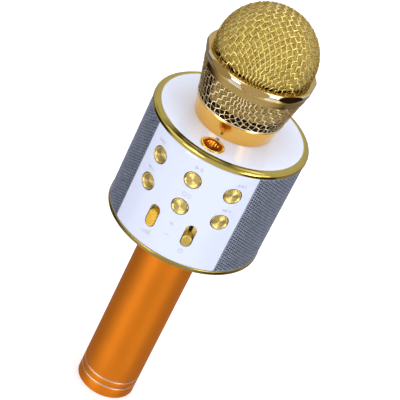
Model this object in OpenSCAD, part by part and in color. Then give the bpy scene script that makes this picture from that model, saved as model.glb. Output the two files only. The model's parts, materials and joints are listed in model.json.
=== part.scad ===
// Handheld karaoke microphone: a tube handle, a round speaker body with a control panel,
// and a mesh head over the capsule. It stands on the handle's flat end.
// The origin is the centre of that end, +Z runs up the axis, and the control panel faces -Y.

/* [Handle] */
// Outer radius of the handle tube
handle_r = 16; // [14:0.5:17]
// Wall of the handle tube
handle_wall = 1.6; // [1.2:0.1:2]
// Height of the lower bright groove above the handle's end
groove_low_z = 7.2; // [5:0.1:8]
// Height of the upper bright groove above the handle's end
groove_high_z = 11.7; // [10:0.1:14]

/* [Speaker body] */
// Outer radius of the two trim rings
drum_r = 41; // [40.5:0.1:42]
// Height of the body's lower edge above the handle's end
drum_low_z = 114.2; // [110:0.1:120]
// Height of the body, from its lower edge to its top plate
drum_h = 65.1; // [64:0.1:68]
// Half of the angle that the control panel covers
panel_half_angle = 42.9; // [40:0.1:46]
// Half of the angle that the rear socket panel covers
rear_half_angle = 24; // [20:1:30]

/* [Controls] */
// Radius of a push button's cap
button_r = 4.2; // [3.8:0.1:4.4]
// Angle between neighbouring columns of buttons
button_step = 29.6; // [28:0.1:31]
// Height of the upper row of buttons above the handle's end
button_row_high = 163.2; // [162:0.1:164]
// Height of the lower row of buttons above the handle's end
button_row_low = 146.9; // [146:0.1:148]
// Width of a control slot
slot_w = 5.7; // [5.2:0.1:6]
// Length of a control slot
slot_l = 13; // [12:0.1:14]
// Angle of each control slot from the middle of the panel
slot_angle = 14.4; // [13:0.1:16]
// Height of the control slots' centres above the handle's end
slot_z = 133.7; // [133:0.1:135]
// Length of the level slider's knob
level_knob_l = 9.6; // [9:0.1:10]
// Length of the power switch's knob
power_knob_l = 6.4; // [5.5:0.1:7]

/* [Head] */
// Radius of the neck collar where it meets the top plate
neck_low_r = 20.4; // [20:0.1:21]
// Radius of the neck collar where the mesh begins
neck_high_r = 22.6; // [22.2:0.1:22.8]
// Height of the neck collar
neck_h = 10; // [9:0.1:11]
// Radius of the lower mesh cone at its narrow end
cone_low_r = 22.9; // [22.8:0.1:23.1]
// Radius of the lower mesh cone at its wide end
cone_high_r = 26.6; // [26:0.1:27]
// Largest radius of the band around the head, before its flats are cut
band_r = 28.6; // [28.3:0.1:29]
// Distance from the axis to each flat on the band
band_flat_r = 27.6; // [27.4:0.05:28]
// Number of flats around the band
band_flats = 9; // [7:1:12]
// Radius of the mesh dome
dome_r = 25.6; // [25:0.1:26]

/* [Hidden] */
$fn = 96;

// Gaps and small allowances
assembly_gap = 0.1;   // between neighbouring fixed pieces
slide_gap = 0.3;      // between a moving piece and its guide
edge = 0.6;           // usual chamfer

// Levels up the axis
drum_high_z = drum_low_z + drum_h;
wall_low_z = drum_low_z + 2.6;
wall_high_z = drum_high_z - 3.4;
neck_high_z = drum_high_z + neck_h;
ring_low_z = neck_high_z + assembly_gap;
mesh_low_z = ring_low_z + 0.8;
band_low_z = neck_high_z + 17.6;
band_high_z = band_low_z + 8.5;
dome_z = neck_high_z + 30.5;
dome_squash = 0.96;
dome_start = -12;     // angle below the dome's equator where the band hides it

// Walls of the speaker body
wall_r = drum_r - 0.3;
panel_wall = 2.2;
panel_in_r = wall_r - panel_wall;
mesh_wall = 1;
plate_r = drum_r - 3.7;
plate_t = 2;
seam_angle = 0.25;    // between a panel and a speaker mesh
light_y = 22.7;       // status light's distance in front of the axis
light_r = 0.8;

// Inside of the handle
bore_r = handle_r - handle_wall;
shoulder_r = handle_r - 0.2;
tube_top_z = drum_low_z + 2.8;
cap_t = 2.5;
groove_w = 1.1;
groove_d = 0.25;
cell_r = 9.1;
cell_low_z = 22;
cell_l = 65;
cradle_high_z = 97;
adaptor_low_z = 98;
adaptor_flange_r = 23;
adaptor_flange_t = 2.4;

// Speakers, one on each side
speaker_z = 146;
speaker_r = 24;
baffle_x = 25.5;      // inner face of a baffle
baffle_t = 2;
baffle_half_y = 26;
chassis_low_z = drum_low_z + 5.4;
chassis_high_z = drum_low_z + 60.4;
chassis_t = 2.2;
speaker_screw_r = 22.7;
speaker_screw_angles = [45, 135, 225, 315];
cover_screw_spots = [[21, 19], [-21, 19], [21, -19], [-21, -19]];
adaptor_screw_angles = [30, 150, 270];
adaptor_screw_r = 19.6;
screw_clearance_r = 2.3;
cover_screw_seat = 2.3;
cover_r = drum_r - 2.6;

// Buttons: distances from the axis of the body, measured along each button's own axis
button_travel = 0.5;
button_face = drum_r - 0.5;
button_flange_r = 5.1;
button_flange_low = 36.2;
button_flange_high = 37.5;
button_boss_r = 1.8;
button_foot = 33.45 + button_travel;
button_gap = 0.35;
switch_low = 31;
switch_high = 32.6;
switch_stem_high = 33.3;
board_t = 1.2;

// Slots: distances from the axis of the body, measured along each slot's own axis
liner_wall = 0.9;
liner_floor = 36;
liner_low = 35;
liner_slit_w = 2;
liner_slit_l = 10.6;
knob_floor = liner_floor + slide_gap;
stem_w = 1.3;
stem_l = 2.6;
slide_body_low = 31.2;
slide_body_high = 34.6;
stem_foot = 32.6;
boards_split_z = 140.8; // slider board below, button board above

// Sockets in the rear panel
board_x = -5;         // face of the main board away from the sockets
board_wall = 1.6;
aux_z = 160;
aux_bore_r = 1.8;
usb_z = 147;
card_z = 134;
socket_face_y = drum_r - 0.9;

// Head
mesh_t = 1.2;
sleeve_r = 18.4;
capsule_r = 12;
capsule_low_z = drum_high_z + 10;
capsule_high_z = drum_high_z + 42.7;
foam_pocket_r = 14.5;
foam_low_z = neck_high_z + 4.2;
foam_gap = 0.4;

gold = [0.86, 0.68, 0.30];
deep_gold = [0.88, 0.62, 0.22];
mesh_gold = [0.80, 0.68, 0.33];
anodised_orange = [0.82, 0.43, 0.10];
gloss_white = [0.93, 0.92, 0.95];
mesh_grey = [0.45, 0.47, 0.52];
plastic_black = [0.08, 0.08, 0.09];
board_green = [0.07, 0.30, 0.16];
steel = [0.62, 0.63, 0.65];
magnet_grey = [0.25, 0.25, 0.27];
cell_blue = [0.13, 0.32, 0.60];
paper_grey = [0.15, 0.15, 0.16];
foam_gold = [0.66, 0.54, 0.17];

// Radius of the lower mesh cone's outside at a height
function cone_r(z) = cone_low_r
    + (cone_high_r - cone_low_r) * (z - mesh_low_z) / (band_low_z - mesh_low_z);

// Point on the dome's profile at an angle above its equator, moved inward by a depth
function dome_point(angle, depth) =
    [(dome_r - depth) * cos(angle), dome_z + (dome_r * dome_squash - depth) * sin(angle)];

// Puts a child that stands on +Z so that it points outward at an angle, measured from -Y to +X
module outward(angle, z) {
    rotate([0, 0, angle])
        translate([0, 0, z])
            rotate([90, 0, 0])
                children();
}

// Puts a child that stands on +Z so that it points out along +X (side = 1) or -X (side = -1)
module sideways(side) {
    translate([0, 0, speaker_z])
        rotate([0, 90 * side, 0])
            children();
}

module collar(r_out, r_in, z_low, z_high) {
    rotate_extrude()
        translate([r_in, z_low])
            square([r_out - r_in, z_high - z_low]);
}

// Part of a round wall, centred on an angle measured from -Y to +X
module wall_sector(r_out, r_in, z_low, z_high, middle, half_angle) {
    rotate([0, 0, middle - half_angle - 90])
        rotate_extrude(angle = 2 * half_angle)
            translate([r_in, z_low])
                square([r_out - r_in, z_high - z_low]);
}

// Straight-sided slot shape with round ends, long in Y
module stadium(w, l, h) {
    linear_extrude(h)
        union() {
            for (end = [-1, 1]) translate([0, end * (l - w) / 2]) circle(d = w);
            square([w, l - w], center = true);
        }
}

// Pan-head screw standing on +Z with its head at the bottom
module screw(head_r, head_h, shank_r, length) {
    difference() {
        union() {
            cylinder(r = head_r, h = head_h);
            translate([0, 0, head_h]) cylinder(r = shank_r, h = length - head_h);
        }
        for (turn = [0, 90])
            rotate([0, 0, turn])
                translate([-head_r * 0.6, -0.25, -1])
                    cube([head_r * 1.2, 0.5, 1 + head_h * 0.5]);
    }
}

// ---------------------------------------------------------------- handle

module handle_tube() {
    color(anodised_orange)
        rotate_extrude()
            polygon([
                [bore_r, 0], [handle_r - edge, 0], [handle_r, edge],
                [handle_r, groove_low_z - groove_w / 2],
                [handle_r - groove_d, groove_low_z],
                [handle_r, groove_low_z + groove_w / 2],
                [handle_r, groove_high_z - groove_w / 2],
                [handle_r - groove_d, groove_high_z],
                [handle_r, groove_high_z + groove_w / 2],
                [handle_r, drum_low_z], [shoulder_r, drum_low_z],
                [shoulder_r, tube_top_z], [bore_r, tube_top_z]
            ]);
}

module end_cap() {
    color(plastic_black)
        rotate_extrude()
            polygon([
                [0, 0], [bore_r - assembly_gap, 0], [bore_r - assembly_gap, cap_t + 3],
                [bore_r - 2, cap_t + 3], [bore_r - 2, cap_t], [0, cap_t]
            ]);
}

module battery_cradle() {
    cradle_low_z = cap_t + 3.2;
    window_w = 8;
    color(plastic_black)
        difference() {
            translate([0, 0, cradle_low_z])
                cylinder(r = bore_r - assembly_gap, h = cradle_high_z - cradle_low_z);
            translate([0, 0, cell_low_z - 2])
                cylinder(r = cell_r + 0.2, h = cell_l + 4);
            for (turn = [0, 90])
                rotate([0, 0, turn])
                    translate([-bore_r - 1, -window_w / 2, cell_low_z + 6])
                        cube([2 * bore_r + 2, window_w, cell_l - 12]);
            translate([0, 0, cell_low_z + cell_l + 1]) cylinder(r = 4, h = cradle_high_z);
        }
}

module battery_cell() {
    button_h = 1.2;
    color(cell_blue)
        translate([0, 0, cell_low_z])
            union() {
                cylinder(r = cell_r, h = cell_l - button_h);
                cylinder(r = 2.8, h = cell_l);
            }
}

module battery_contacts() {
    plate = 0.4;
    color(steel) {
        translate([0, 0, cell_low_z - 2]) cylinder(r = 6, h = plate);
        translate([0, 0, cell_low_z - 2 + plate]) cylinder(r1 = 3.6, r2 = 2.4, h = 2 - plate);
        translate([0, 0, cell_low_z + cell_l]) collar(6, 4.2, 0, plate);
        translate([0, 0, cell_low_z + cell_l]) cylinder(r = 2, h = plate);
    }
}

module handle_adaptor() {
    flange_z = tube_top_z;
    color(plastic_black)
        difference() {
            rotate_extrude()
                polygon([
                    [8, adaptor_low_z], [bore_r - assembly_gap, adaptor_low_z],
                    [bore_r - assembly_gap, flange_z], [adaptor_flange_r, flange_z],
                    [adaptor_flange_r, flange_z + adaptor_flange_t],
                    [8, flange_z + adaptor_flange_t]
                ]);
            for (angle = adaptor_screw_angles)
                rotate([0, 0, angle])
                    translate([adaptor_screw_r, 0, flange_z - 1])
                        cylinder(r = 1.1, h = 10);
        }
}

module adaptor_screws() {
    head_z = tube_top_z + adaptor_flange_t + 1.1;
    color(steel)
        for (angle = adaptor_screw_angles)
            rotate([0, 0, angle])
                translate([adaptor_screw_r, 0, head_z])
                    rotate([180, 0, 0])
                        screw(1.9, 1.1, 1, 4.6);
}

// ---------------------------------------------------------------- speaker body

module bottom_cover() {
    cover_low_z = drum_low_z + 0.8;
    color(gloss_white)
        difference() {
            union() {
                translate([0, 0, cover_low_z])
                    cylinder(r = cover_r, h = tube_top_z - cover_low_z);
                for (spot = cover_screw_spots)
                    translate([spot.x, spot.y, tube_top_z - 0.5])
                        cylinder(r = 3, h = chassis_low_z - tube_top_z + 0.5);
            }
            translate([0, 0, drum_low_z]) cylinder(r = shoulder_r + assembly_gap, h = 10);
            for (spot = cover_screw_spots)
                translate([spot.x, spot.y, drum_low_z]) {
                    cylinder(r = 1.35, h = 10);
                    cylinder(r = 2.6, h = cover_screw_seat);
                }
            for (angle = adaptor_screw_angles)
                rotate([0, 0, angle])
                    translate([adaptor_screw_r, 0, drum_low_z + 1.6])
                        cylinder(r = 1.1, h = 10);
        }
}

module cover_screws() {
    color(steel)
        for (spot = cover_screw_spots)
            translate([spot.x, spot.y, drum_low_z + 0.9])
                screw(2.4, 1.3, 1.2, chassis_low_z + 1.8 - drum_low_z - 0.9);
}

module bottom_trim_ring() {
    color(gold)
        rotate_extrude()
            polygon([
                [drum_r - 2.4, drum_low_z], [drum_r - 0.8, drum_low_z],
                [drum_r - 0.25, drum_low_z + 0.15], [drum_r, drum_low_z + 0.5],
                [drum_r, drum_low_z + 2.2], [drum_r - 0.2, drum_low_z + 2.5],
                [drum_r - 2.4, drum_low_z + 2.5]
            ]);
}

module chassis_plate(z) {
    half_x = baffle_x + baffle_t;
    tongue_x = 14;
    translate([0, 0, z])
        linear_extrude(chassis_t)
            union() {
                translate([-half_x, -20]) square([2 * half_x, 42]);
                translate([-tongue_x, -30]) square([2 * tongue_x, 11]);
            }
}

module speaker_chassis() {
    color(plastic_black)
        difference() {
            union() {
                chassis_plate(chassis_low_z);
                chassis_plate(chassis_high_z - chassis_t);
                for (side = [-1, 1])
                    translate([side * (baffle_x + baffle_t / 2), 0, (chassis_low_z + chassis_high_z) / 2])
                        cube([baffle_t, 2 * baffle_half_y, chassis_high_z - chassis_low_z], center = true);
                for (spot = cover_screw_spots)
                    translate([spot.x, spot.y, chassis_high_z - 0.5])
                        cylinder(r = 3, h = drum_high_z - plate_t - chassis_high_z + 0.4);
            }
            for (side = [-1, 1])
                sideways(side) {
                    translate([0, 0, baffle_x - 1]) cylinder(r = 22, h = baffle_t + 2);
                    for (angle = speaker_screw_angles)
                        rotate([0, 0, angle])
                            translate([speaker_screw_r + 0.6, 0, baffle_x - 1])
                                cylinder(r = 0.9, h = baffle_t + 2);
                }
            translate([0, 0, chassis_low_z - 1]) cylinder(r = 12, h = chassis_t + 2);
            translate([0, 0, chassis_high_z - chassis_t - 1]) cylinder(r = 12, h = chassis_t + 2);
            for (angle = adaptor_screw_angles)
                rotate([0, 0, angle])
                    translate([adaptor_screw_r, 0, chassis_low_z - 1])
                        cylinder(r = screw_clearance_r, h = chassis_t + 2);
            for (spot = cover_screw_spots)
                translate([spot.x, spot.y, chassis_low_z - 1]) cylinder(r = 1.3, h = chassis_t + 2);
        }
}

module front_panel() {
    color(gloss_white)
        difference() {
            wall_sector(wall_r, panel_in_r, wall_low_z, wall_high_z, 0, panel_half_angle);
            for (column = [-1, 0, 1], row = [button_row_low, button_row_high])
                outward(column * button_step, row)
                    translate([0, 0, panel_in_r - 3])
                        cylinder(r = button_r + button_gap, h = 10);
            for (side = [-1, 1])
                outward(side * slot_angle, slot_z)
                    translate([0, 0, panel_in_r - 3])
                        stadium(slot_w, slot_l, 10);
        }
}

module rear_panel() {
    usb_w = 3.4;
    card_w = 2.4;
    color(gloss_white)
        difference() {
            wall_sector(wall_r, panel_in_r, wall_low_z, wall_high_z, 180, rear_half_angle);
            outward(180, aux_z) translate([0, 0, 30]) cylinder(r = 3.05, h = 20);
            translate([board_x + board_wall - 0.3, 30, usb_z - 4.2]) cube([usb_w, 20, 8.4]);
            translate([board_x + board_wall - 0.3, 30, card_z - 6.6]) cube([card_w, 20, 13.2]);
        }
}

// Perforated speaker wall from the front panel round to the rear panel
module speaker_mesh(side) {
    from = panel_half_angle + seam_angle;
    to = 180 - rear_half_angle - seam_angle;
    color(mesh_grey)
        wall_sector(wall_r, wall_r - mesh_wall, wall_low_z, wall_high_z,
            side * (from + to) / 2, (to - from) / 2);
}

module speaker_basket(side) {
    flange = baffle_x + baffle_t + assembly_gap;
    color(steel)
        sideways(side)
            difference() {
                rotate_extrude()
                    polygon([
                        [speaker_r, flange + 1.6], [speaker_r, flange], [21.8, flange],
                        [21.8, 25.2], [14.4, 19.4], [9, 19.4], [9, 20.6], [13.8, 20.6],
                        [20.4, 25.8], [20.4, flange + 1.6]
                    ]);
                for (angle = speaker_screw_angles)
                    rotate([0, 0, angle])
                        translate([speaker_screw_r + 0.6, 0, flange - 1])
                            cylinder(r = 0.9, h = 5);
            }
}

module speaker_cone(side) {
    color(paper_grey)
        sideways(side)
            rotate_extrude()
                polygon([
                    [20.2, 29.2], [17.8, 29.2], [6.5, 23.4], [3.6, 24.9], [0, 25.4],
                    [0, 24.8], [3.4, 24.3], [6.5, 22.8], [17.9, 28.6], [20.2, 28.6]
                ]);
}

module speaker_magnet(side) {
    color(magnet_grey)
        sideways(side)
            rotate_extrude()
                polygon([[0, 10.4], [14, 10.4], [14, 19.3], [6, 19.3], [6, 21.4], [0, 21.4]]);
}

module speaker_screws() {
    color(steel)
        for (side = [-1, 1])
            sideways(side)
                for (angle = speaker_screw_angles)
                    rotate([0, 0, angle])
                        translate([speaker_screw_r + 0.6, 0, baffle_x + baffle_t + assembly_gap + 2.6])
                            rotate([180, 0, 0])
                                screw(1.4, 1, 0.8, 4.4);
}

// ---------------------------------------------------------------- electronics

module main_board() {
    color(board_green)
        translate([board_x, 8, chassis_low_z + chassis_t + 0.4])
            cube([board_wall, 30, chassis_high_z - chassis_low_z - 2 * chassis_t - 0.8]);
}

module board_chips() {
    color(plastic_black) {
        translate([board_x - 1.4, 14, 144]) cube([1.4, 9, 9]);
        translate([board_x - 1.2, 26, 150]) cube([1.2, 5, 6]);
        translate([board_x - 1.2, 26, 134]) cube([1.2, 5, 6]);
        translate([board_x - 2.6, 14, 130]) cube([2.6, 4, 4]);
        translate([board_x, 33, 128]) rotate([0, -90, 0]) cylinder(r = 2.5, h = 5.2);
        translate([board_x, 33, 144]) rotate([0, -90, 0]) cylinder(r = 2.5, h = 5.2);
    }
}

module aux_jack() {
    nose_r = 2.9;
    body_y = 25;
    color(plastic_black)
        difference() {
            union() {
                translate([board_x + board_wall, body_y, aux_z - 3.2])
                    cube([6.8, 12.4, 6.4]);
                outward(180, aux_z)
                    translate([0, 0, body_y + 4])
                        cylinder(r = nose_r, h = socket_face_y - body_y - 4);
            }
            outward(180, aux_z)
                translate([0, 0, body_y + 1.4])
                    cylinder(r = aux_bore_r, h = 30);
        }
}

module charging_port() {
    depth = 6;
    port_w = 2.8;
    port_l = 7.6;
    shell = 0.4;
    x = board_x + board_wall;
    color(steel)
        union() {
            difference() {
                translate([x, socket_face_y - depth, usb_z - port_l / 2]) cube([port_w, depth, port_l]);
                translate([x + shell, socket_face_y - depth + 1, usb_z - port_l / 2 + shell])
                    cube([port_w - 2 * shell, depth, port_l - 2 * shell]);
            }
            translate([x + 1.1, socket_face_y - depth + 0.5, usb_z - 2.4]) cube([0.6, depth - 1.2, 4.8]);
        }
}

module card_slot() {
    depth = 14;
    color(steel)
        difference() {
            translate([board_x + board_wall, socket_face_y - depth, card_z - 6.3])
                cube([1.8, depth, 12.6]);
            translate([board_x + board_wall + 0.4, socket_face_y - depth + 1, card_z - 5.7])
                cube([1, depth, 11.4]);
        }
}

// Board folded flat behind columns of controls: one flat face per column
module folded_board(radius, step, columns, z_low, z_high) {
    last = (columns - 1) / 2;
    corner = radius / cos(step / 2);
    inner = (radius - board_t) / cos(step / 2);
    turns = [for (i = [0 : columns]) (i - last - 0.5) * step];
    outer_points = [for (turn = turns) [corner * sin(turn), -corner * cos(turn)]];
    inner_points = [for (i = [columns : -1 : 0]) [inner * sin(turns[i]), -inner * cos(turns[i])]];
    translate([0, 0, z_low])
        linear_extrude(z_high - z_low)
            polygon(concat(outer_points, inner_points));
}

module button_board() {
    color(board_green)
        intersection() {
            folded_board(switch_low, button_step, 3, boards_split_z + 0.2, chassis_high_z - chassis_t);
            translate([-21, -40, 100]) cube([42, 19, 100]);
        }
}

module tact_switches() {
    color(steel)
        for (column = [-1, 0, 1], row = [button_row_low, button_row_high])
            outward(column * button_step, row) {
                translate([-2.25, -2.25, switch_low])
                    cube([4.5, 4.5, switch_high - switch_low]);
                translate([0, 0, switch_high])
                    cylinder(r = 1.2, h = switch_stem_high - switch_high);
            }
}

module slider_board() {
    color(board_green)
        folded_board(slide_body_low, 2 * slot_angle, 2, chassis_low_z + chassis_t, boards_split_z);
}

module slide_switch_bodies() {
    body_w = 5;
    body_l = 14;
    slit_w = 2.2;
    slit_l = 11.4;
    color(steel)
        for (side = [-1, 1])
            outward(side * slot_angle, slot_z)
                difference() {
                    translate([-body_w / 2, -body_l / 2, slide_body_low])
                        cube([body_w, body_l, slide_body_high - slide_body_low]);
                    translate([0, 0, slide_body_low + 0.8])
                        stadium(slit_w, slit_l, 10);
                }
}

// Recess behind each slot, with a floor slit that the knob's stem runs in
module slot_liners() {
    color([0.30, 0.20, 0.10])
        for (side = [-1, 1])
            intersection() {
                outward(side * slot_angle, slot_z)
                    translate([0, 0, liner_low])
                        difference() {
                            stadium(slot_w + 2 * liner_wall, slot_l + 2 * liner_wall, 5);
                            translate([0, 0, liner_floor - liner_low])
                                stadium(slot_w, slot_l, 10);
                            translate([0, 0, -1])
                                stadium(liner_slit_w, liner_slit_l, 10);
                        }
                cylinder(r = panel_in_r - 0.02, h = 200);
            }
}

// ---------------------------------------------------------------- top of the speaker body

module top_plate() {
    color(gloss_white)
        difference() {
            translate([0, 0, drum_high_z - plate_t])
                cylinder(r = plate_r - 0.05, h = plate_t);
            translate([0, 0, drum_high_z - plate_t - 1])
                cylinder(r = sleeve_r + assembly_gap, h = plate_t + 2);
            translate([0, -light_y, drum_high_z - plate_t - 1])
                cylinder(r = light_r + 0.05, h = plate_t + 2);
        }
}

module top_trim_ring() {
    crest = drum_high_z - 0.1;
    color(gold)
        rotate_extrude()
            polygon([
                [plate_r, wall_high_z + 0.1], [drum_r - 0.3, wall_high_z + 0.1],
                [drum_r, wall_high_z + 0.7], [drum_r, drum_high_z - 2],
                [drum_r - 0.25, drum_high_z - 1.2], [drum_r - 0.85, drum_high_z - 0.55],
                [drum_r - 1.7, crest], [drum_r - 2.7, crest + 0.1], [plate_r + 0.3, crest],
                [plate_r, drum_high_z - 0.4]
            ]);
}

module badge() {
    badge_r = 6.2;
    color(gold)
        translate([0, -30.4, drum_high_z])
            rotate_extrude()
                polygon([
                    [0, 0], [badge_r, 0], [badge_r, 0.3], [badge_r - 0.4, 0.6],
                    [badge_r - 1.1, 0.6], [badge_r - 1.5, 0.35], [0, 0.7]
                ]);
}

module status_light() {
    color([0.25, 0.30, 0.35])
        translate([0, -light_y, drum_high_z - plate_t])
            cylinder(r = light_r, h = plate_t + 0.1);
}

// ---------------------------------------------------------------- neck and capsule

module neck_collar() {
    color(deep_gold)
        rotate_extrude()
            polygon([
                [sleeve_r + 0.1, drum_high_z], [neck_low_r - 0.2, drum_high_z],
                [neck_low_r, drum_high_z + 0.3],
                [neck_high_r - 0.1, neck_high_z - 1.2], [neck_high_r, neck_high_z - 0.6],
                [neck_high_r - 0.1, neck_high_z], [sleeve_r + 0.1, neck_high_z]
            ]);
}

module neck_sleeve() {
    wall = 1.8;
    flange_low_z = chassis_high_z + 0.6;
    sleeve_high_z = neck_high_z + 3.1;
    color(steel)
        rotate_extrude()
            polygon([
                [sleeve_r - wall, flange_low_z], [sleeve_r + 2.4, flange_low_z],
                [sleeve_r + 2.4, drum_high_z - plate_t - assembly_gap],
                [sleeve_r, drum_high_z - plate_t - assembly_gap],
                [sleeve_r, sleeve_high_z - 0.4], [sleeve_r - 0.4, sleeve_high_z],
                [sleeve_r - wall, sleeve_high_z]
            ]);
}

module capsule_mount() {
    plate_low_z = capsule_low_z - 3.3;
    cup_r = capsule_r + 1.4;
    color(plastic_black)
        rotate_extrude()
            polygon([
                [0, plate_low_z], [sleeve_r - 1.9, plate_low_z], [sleeve_r - 1.9, capsule_low_z],
                [cup_r, capsule_low_z], [cup_r, capsule_low_z + 9],
                [capsule_r + assembly_gap, capsule_low_z + 9],
                [capsule_r + assembly_gap, capsule_low_z - assembly_gap],
                [0, capsule_low_z - assembly_gap]
            ]);
}

module microphone_capsule() {
    color(steel)
        rotate_extrude()
            polygon([
                [0, capsule_low_z], [capsule_r, capsule_low_z],
                [capsule_r, capsule_high_z - 3], [capsule_r - 0.8, capsule_high_z - 1],
                [capsule_r - 2.5, capsule_high_z], [0, capsule_high_z]
            ]);
}

// ---------------------------------------------------------------- head

module grille_base_ring() {
    bore = sleeve_r + 0.4;
    seat_r = cone_low_r - mesh_t - 0.1;
    color(gold)
        rotate_extrude()
            polygon([
                [bore, ring_low_z], [cone_low_r - 0.1, ring_low_z], [cone_low_r + 0.1, ring_low_z + 0.3],
                [cone_low_r, mesh_low_z - 0.1], [seat_r, mesh_low_z - 0.1],
                [seat_r, foam_low_z - 0.4], [bore, foam_low_z - 0.4]
            ]);
}

module grille_lower_mesh() {
    high_z = band_low_z - 0.1;
    color(mesh_gold)
        rotate_extrude()
            polygon([
                [cone_r(mesh_low_z) - mesh_t, mesh_low_z], [cone_r(mesh_low_z), mesh_low_z],
                [cone_r(high_z), high_z], [cone_r(high_z) - mesh_t, high_z]
            ]);
}

module grille_band() {
    band_in_r = dome_r - 0.4;
    color(gold)
        intersection() {
            rotate_extrude()
                polygon([
                    [band_in_r, band_low_z], [cone_high_r + 0.1, band_low_z],
                    [band_r - 1.3, band_low_z + 2],
                    [band_r - 0.6, band_low_z + 4],
                    [band_r - 0.1, band_low_z + 5.8],
                    [band_r, band_low_z + 6.6],
                    [band_r - 0.2, band_low_z + 7.6],
                    [band_r - 0.8, band_high_z - 0.2],
                    [band_r - 1.6, band_high_z], [band_in_r, band_high_z]
                ]);
            rotate([0, 0, 12.5 - 90 + 180 / band_flats])
                translate([0, 0, band_low_z - 1])
                    cylinder(r = band_flat_r / cos(180 / band_flats), h = 12, $fn = band_flats);
        }
}

module grille_dome_mesh() {
    steps = 16;
    outside = [for (i = [0 : steps]) dome_point(dome_start + i * (90 - dome_start) / steps, 0)];
    inside = [for (i = [steps : -1 : 0]) dome_point(dome_start + i * (90 - dome_start) / steps, mesh_t)];
    color(mesh_gold)
        rotate_extrude()
            polygon(concat(outside, inside));
}

module foam_liner() {
    steps = 12;
    skin = mesh_t + foam_gap;
    roof = [for (i = [0 : steps]) dome_point(dome_start + i * (90 - dome_start) / steps, skin)];
    color(foam_gold)
        rotate_extrude()
            polygon(concat(
                [
                    [foam_pocket_r, foam_low_z], [cone_r(foam_low_z) - skin, foam_low_z],
                    [cone_r(band_low_z) - skin - 0.6, band_low_z]
                ],
                roof,
                [[0, capsule_high_z + 4], [foam_pocket_r - 4, capsule_high_z + 4],
                 [foam_pocket_r, capsule_high_z]]
            ));
}

// ---------------------------------------------------------------- controls

// Push button: a cap with a bevelled rim and a dished face, a flange that holds it in, and a foot
module push_button(column, row) {
    rim = 0.7;
    color(gold)
        outward(column * button_step, row)
            rotate_extrude()
                polygon([
                    [0, button_foot], [button_boss_r, button_foot],
                    [button_boss_r, button_flange_low], [button_flange_r, button_flange_low],
                    [button_flange_r, button_flange_high], [button_r, button_flange_high],
                    [button_r, button_face - 0.35], [button_r - 0.35, button_face],
                    [button_r - rim, button_face], [button_r - rim - 0.2, button_face - 0.15],
                    [0, button_face - 0.3]
                ]);
}

// Knob that slides in a slot, resting at the slot's lower end, with a stem down to its switch
module slot_knob(side, knob_l, face) {
    rest_z = slot_z - slot_l / 2 + slide_gap + knob_l / 2;
    outward(side * slot_angle, rest_z)
        union() {
            translate([0, 0, knob_floor])
                stadium(slot_w - 2 * slide_gap, knob_l, face - knob_floor);
            translate([-stem_w / 2, -stem_l / 2, stem_foot])
                cube([stem_w, stem_l, knob_floor - stem_foot + 0.5]);
        }
}

module level_slider() {
    ribs = 6;
    rib_step = 1.4;
    rest_z = slot_z - slot_l / 2 + slide_gap + level_knob_l / 2;
    color([0.86, 0.55, 0.18])
        difference() {
            slot_knob(-1, level_knob_l, wall_r + 0.2);
            outward(-slot_angle, rest_z)
                for (i = [0 : ribs - 1])
                    translate([-slot_w, (i - (ribs - 1) / 2) * rib_step - 0.25, wall_r - 0.3])
                        cube([2 * slot_w, 0.5, 2]);
        }
}

module power_switch() {
    color(gold)
        slot_knob(1, power_knob_l, wall_r + 0.2);
}

handle_tube();
end_cap();
battery_cradle();
battery_cell();
battery_contacts();
handle_adaptor();
adaptor_screws();
bottom_cover();
cover_screws();
bottom_trim_ring();
speaker_chassis();
front_panel();
rear_panel();
speaker_mesh(-1);  // speaker_mesh_left
speaker_mesh(1);  // speaker_mesh_right
speaker_basket(-1);  // speaker_basket_left
speaker_basket(1);  // speaker_basket_right
speaker_cone(-1);  // speaker_cone_left
speaker_cone(1);  // speaker_cone_right
speaker_magnet(-1);  // speaker_magnet_left
speaker_magnet(1);  // speaker_magnet_right
speaker_screws();
main_board();
board_chips();
aux_jack();
charging_port();
card_slot();
button_board();
tact_switches();
slider_board();
slide_switch_bodies();
slot_liners();
top_plate();
top_trim_ring();
badge();
status_light();
neck_collar();
neck_sleeve();
capsule_mount();
microphone_capsule();
grille_base_ring();
grille_lower_mesh();
grille_band();
grille_dome_mesh();
foam_liner();
push_button(-1, button_row_high);  // previous_button
push_button(0, button_row_high);  // play_button
push_button(1, button_row_high);  // next_button
push_button(-1, button_row_low);  // volume_down_button
push_button(0, button_row_low);  // mode_button
push_button(1, button_row_low);  // volume_up_button
level_slider();
power_switch();
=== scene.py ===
"""Looks of the karaoke microphone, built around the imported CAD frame.

Lengths are in millimetres until a mesh is made; lamps are placed in metres. Azimuths are
measured from -Y towards +X.
"""

import json
from math import asin, atan2, ceil, cos, degrees, dist, hypot, pi, radians, sin, sqrt

import bmesh
import bpy
from mathutils import Matrix, Vector, geometry, noise


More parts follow.
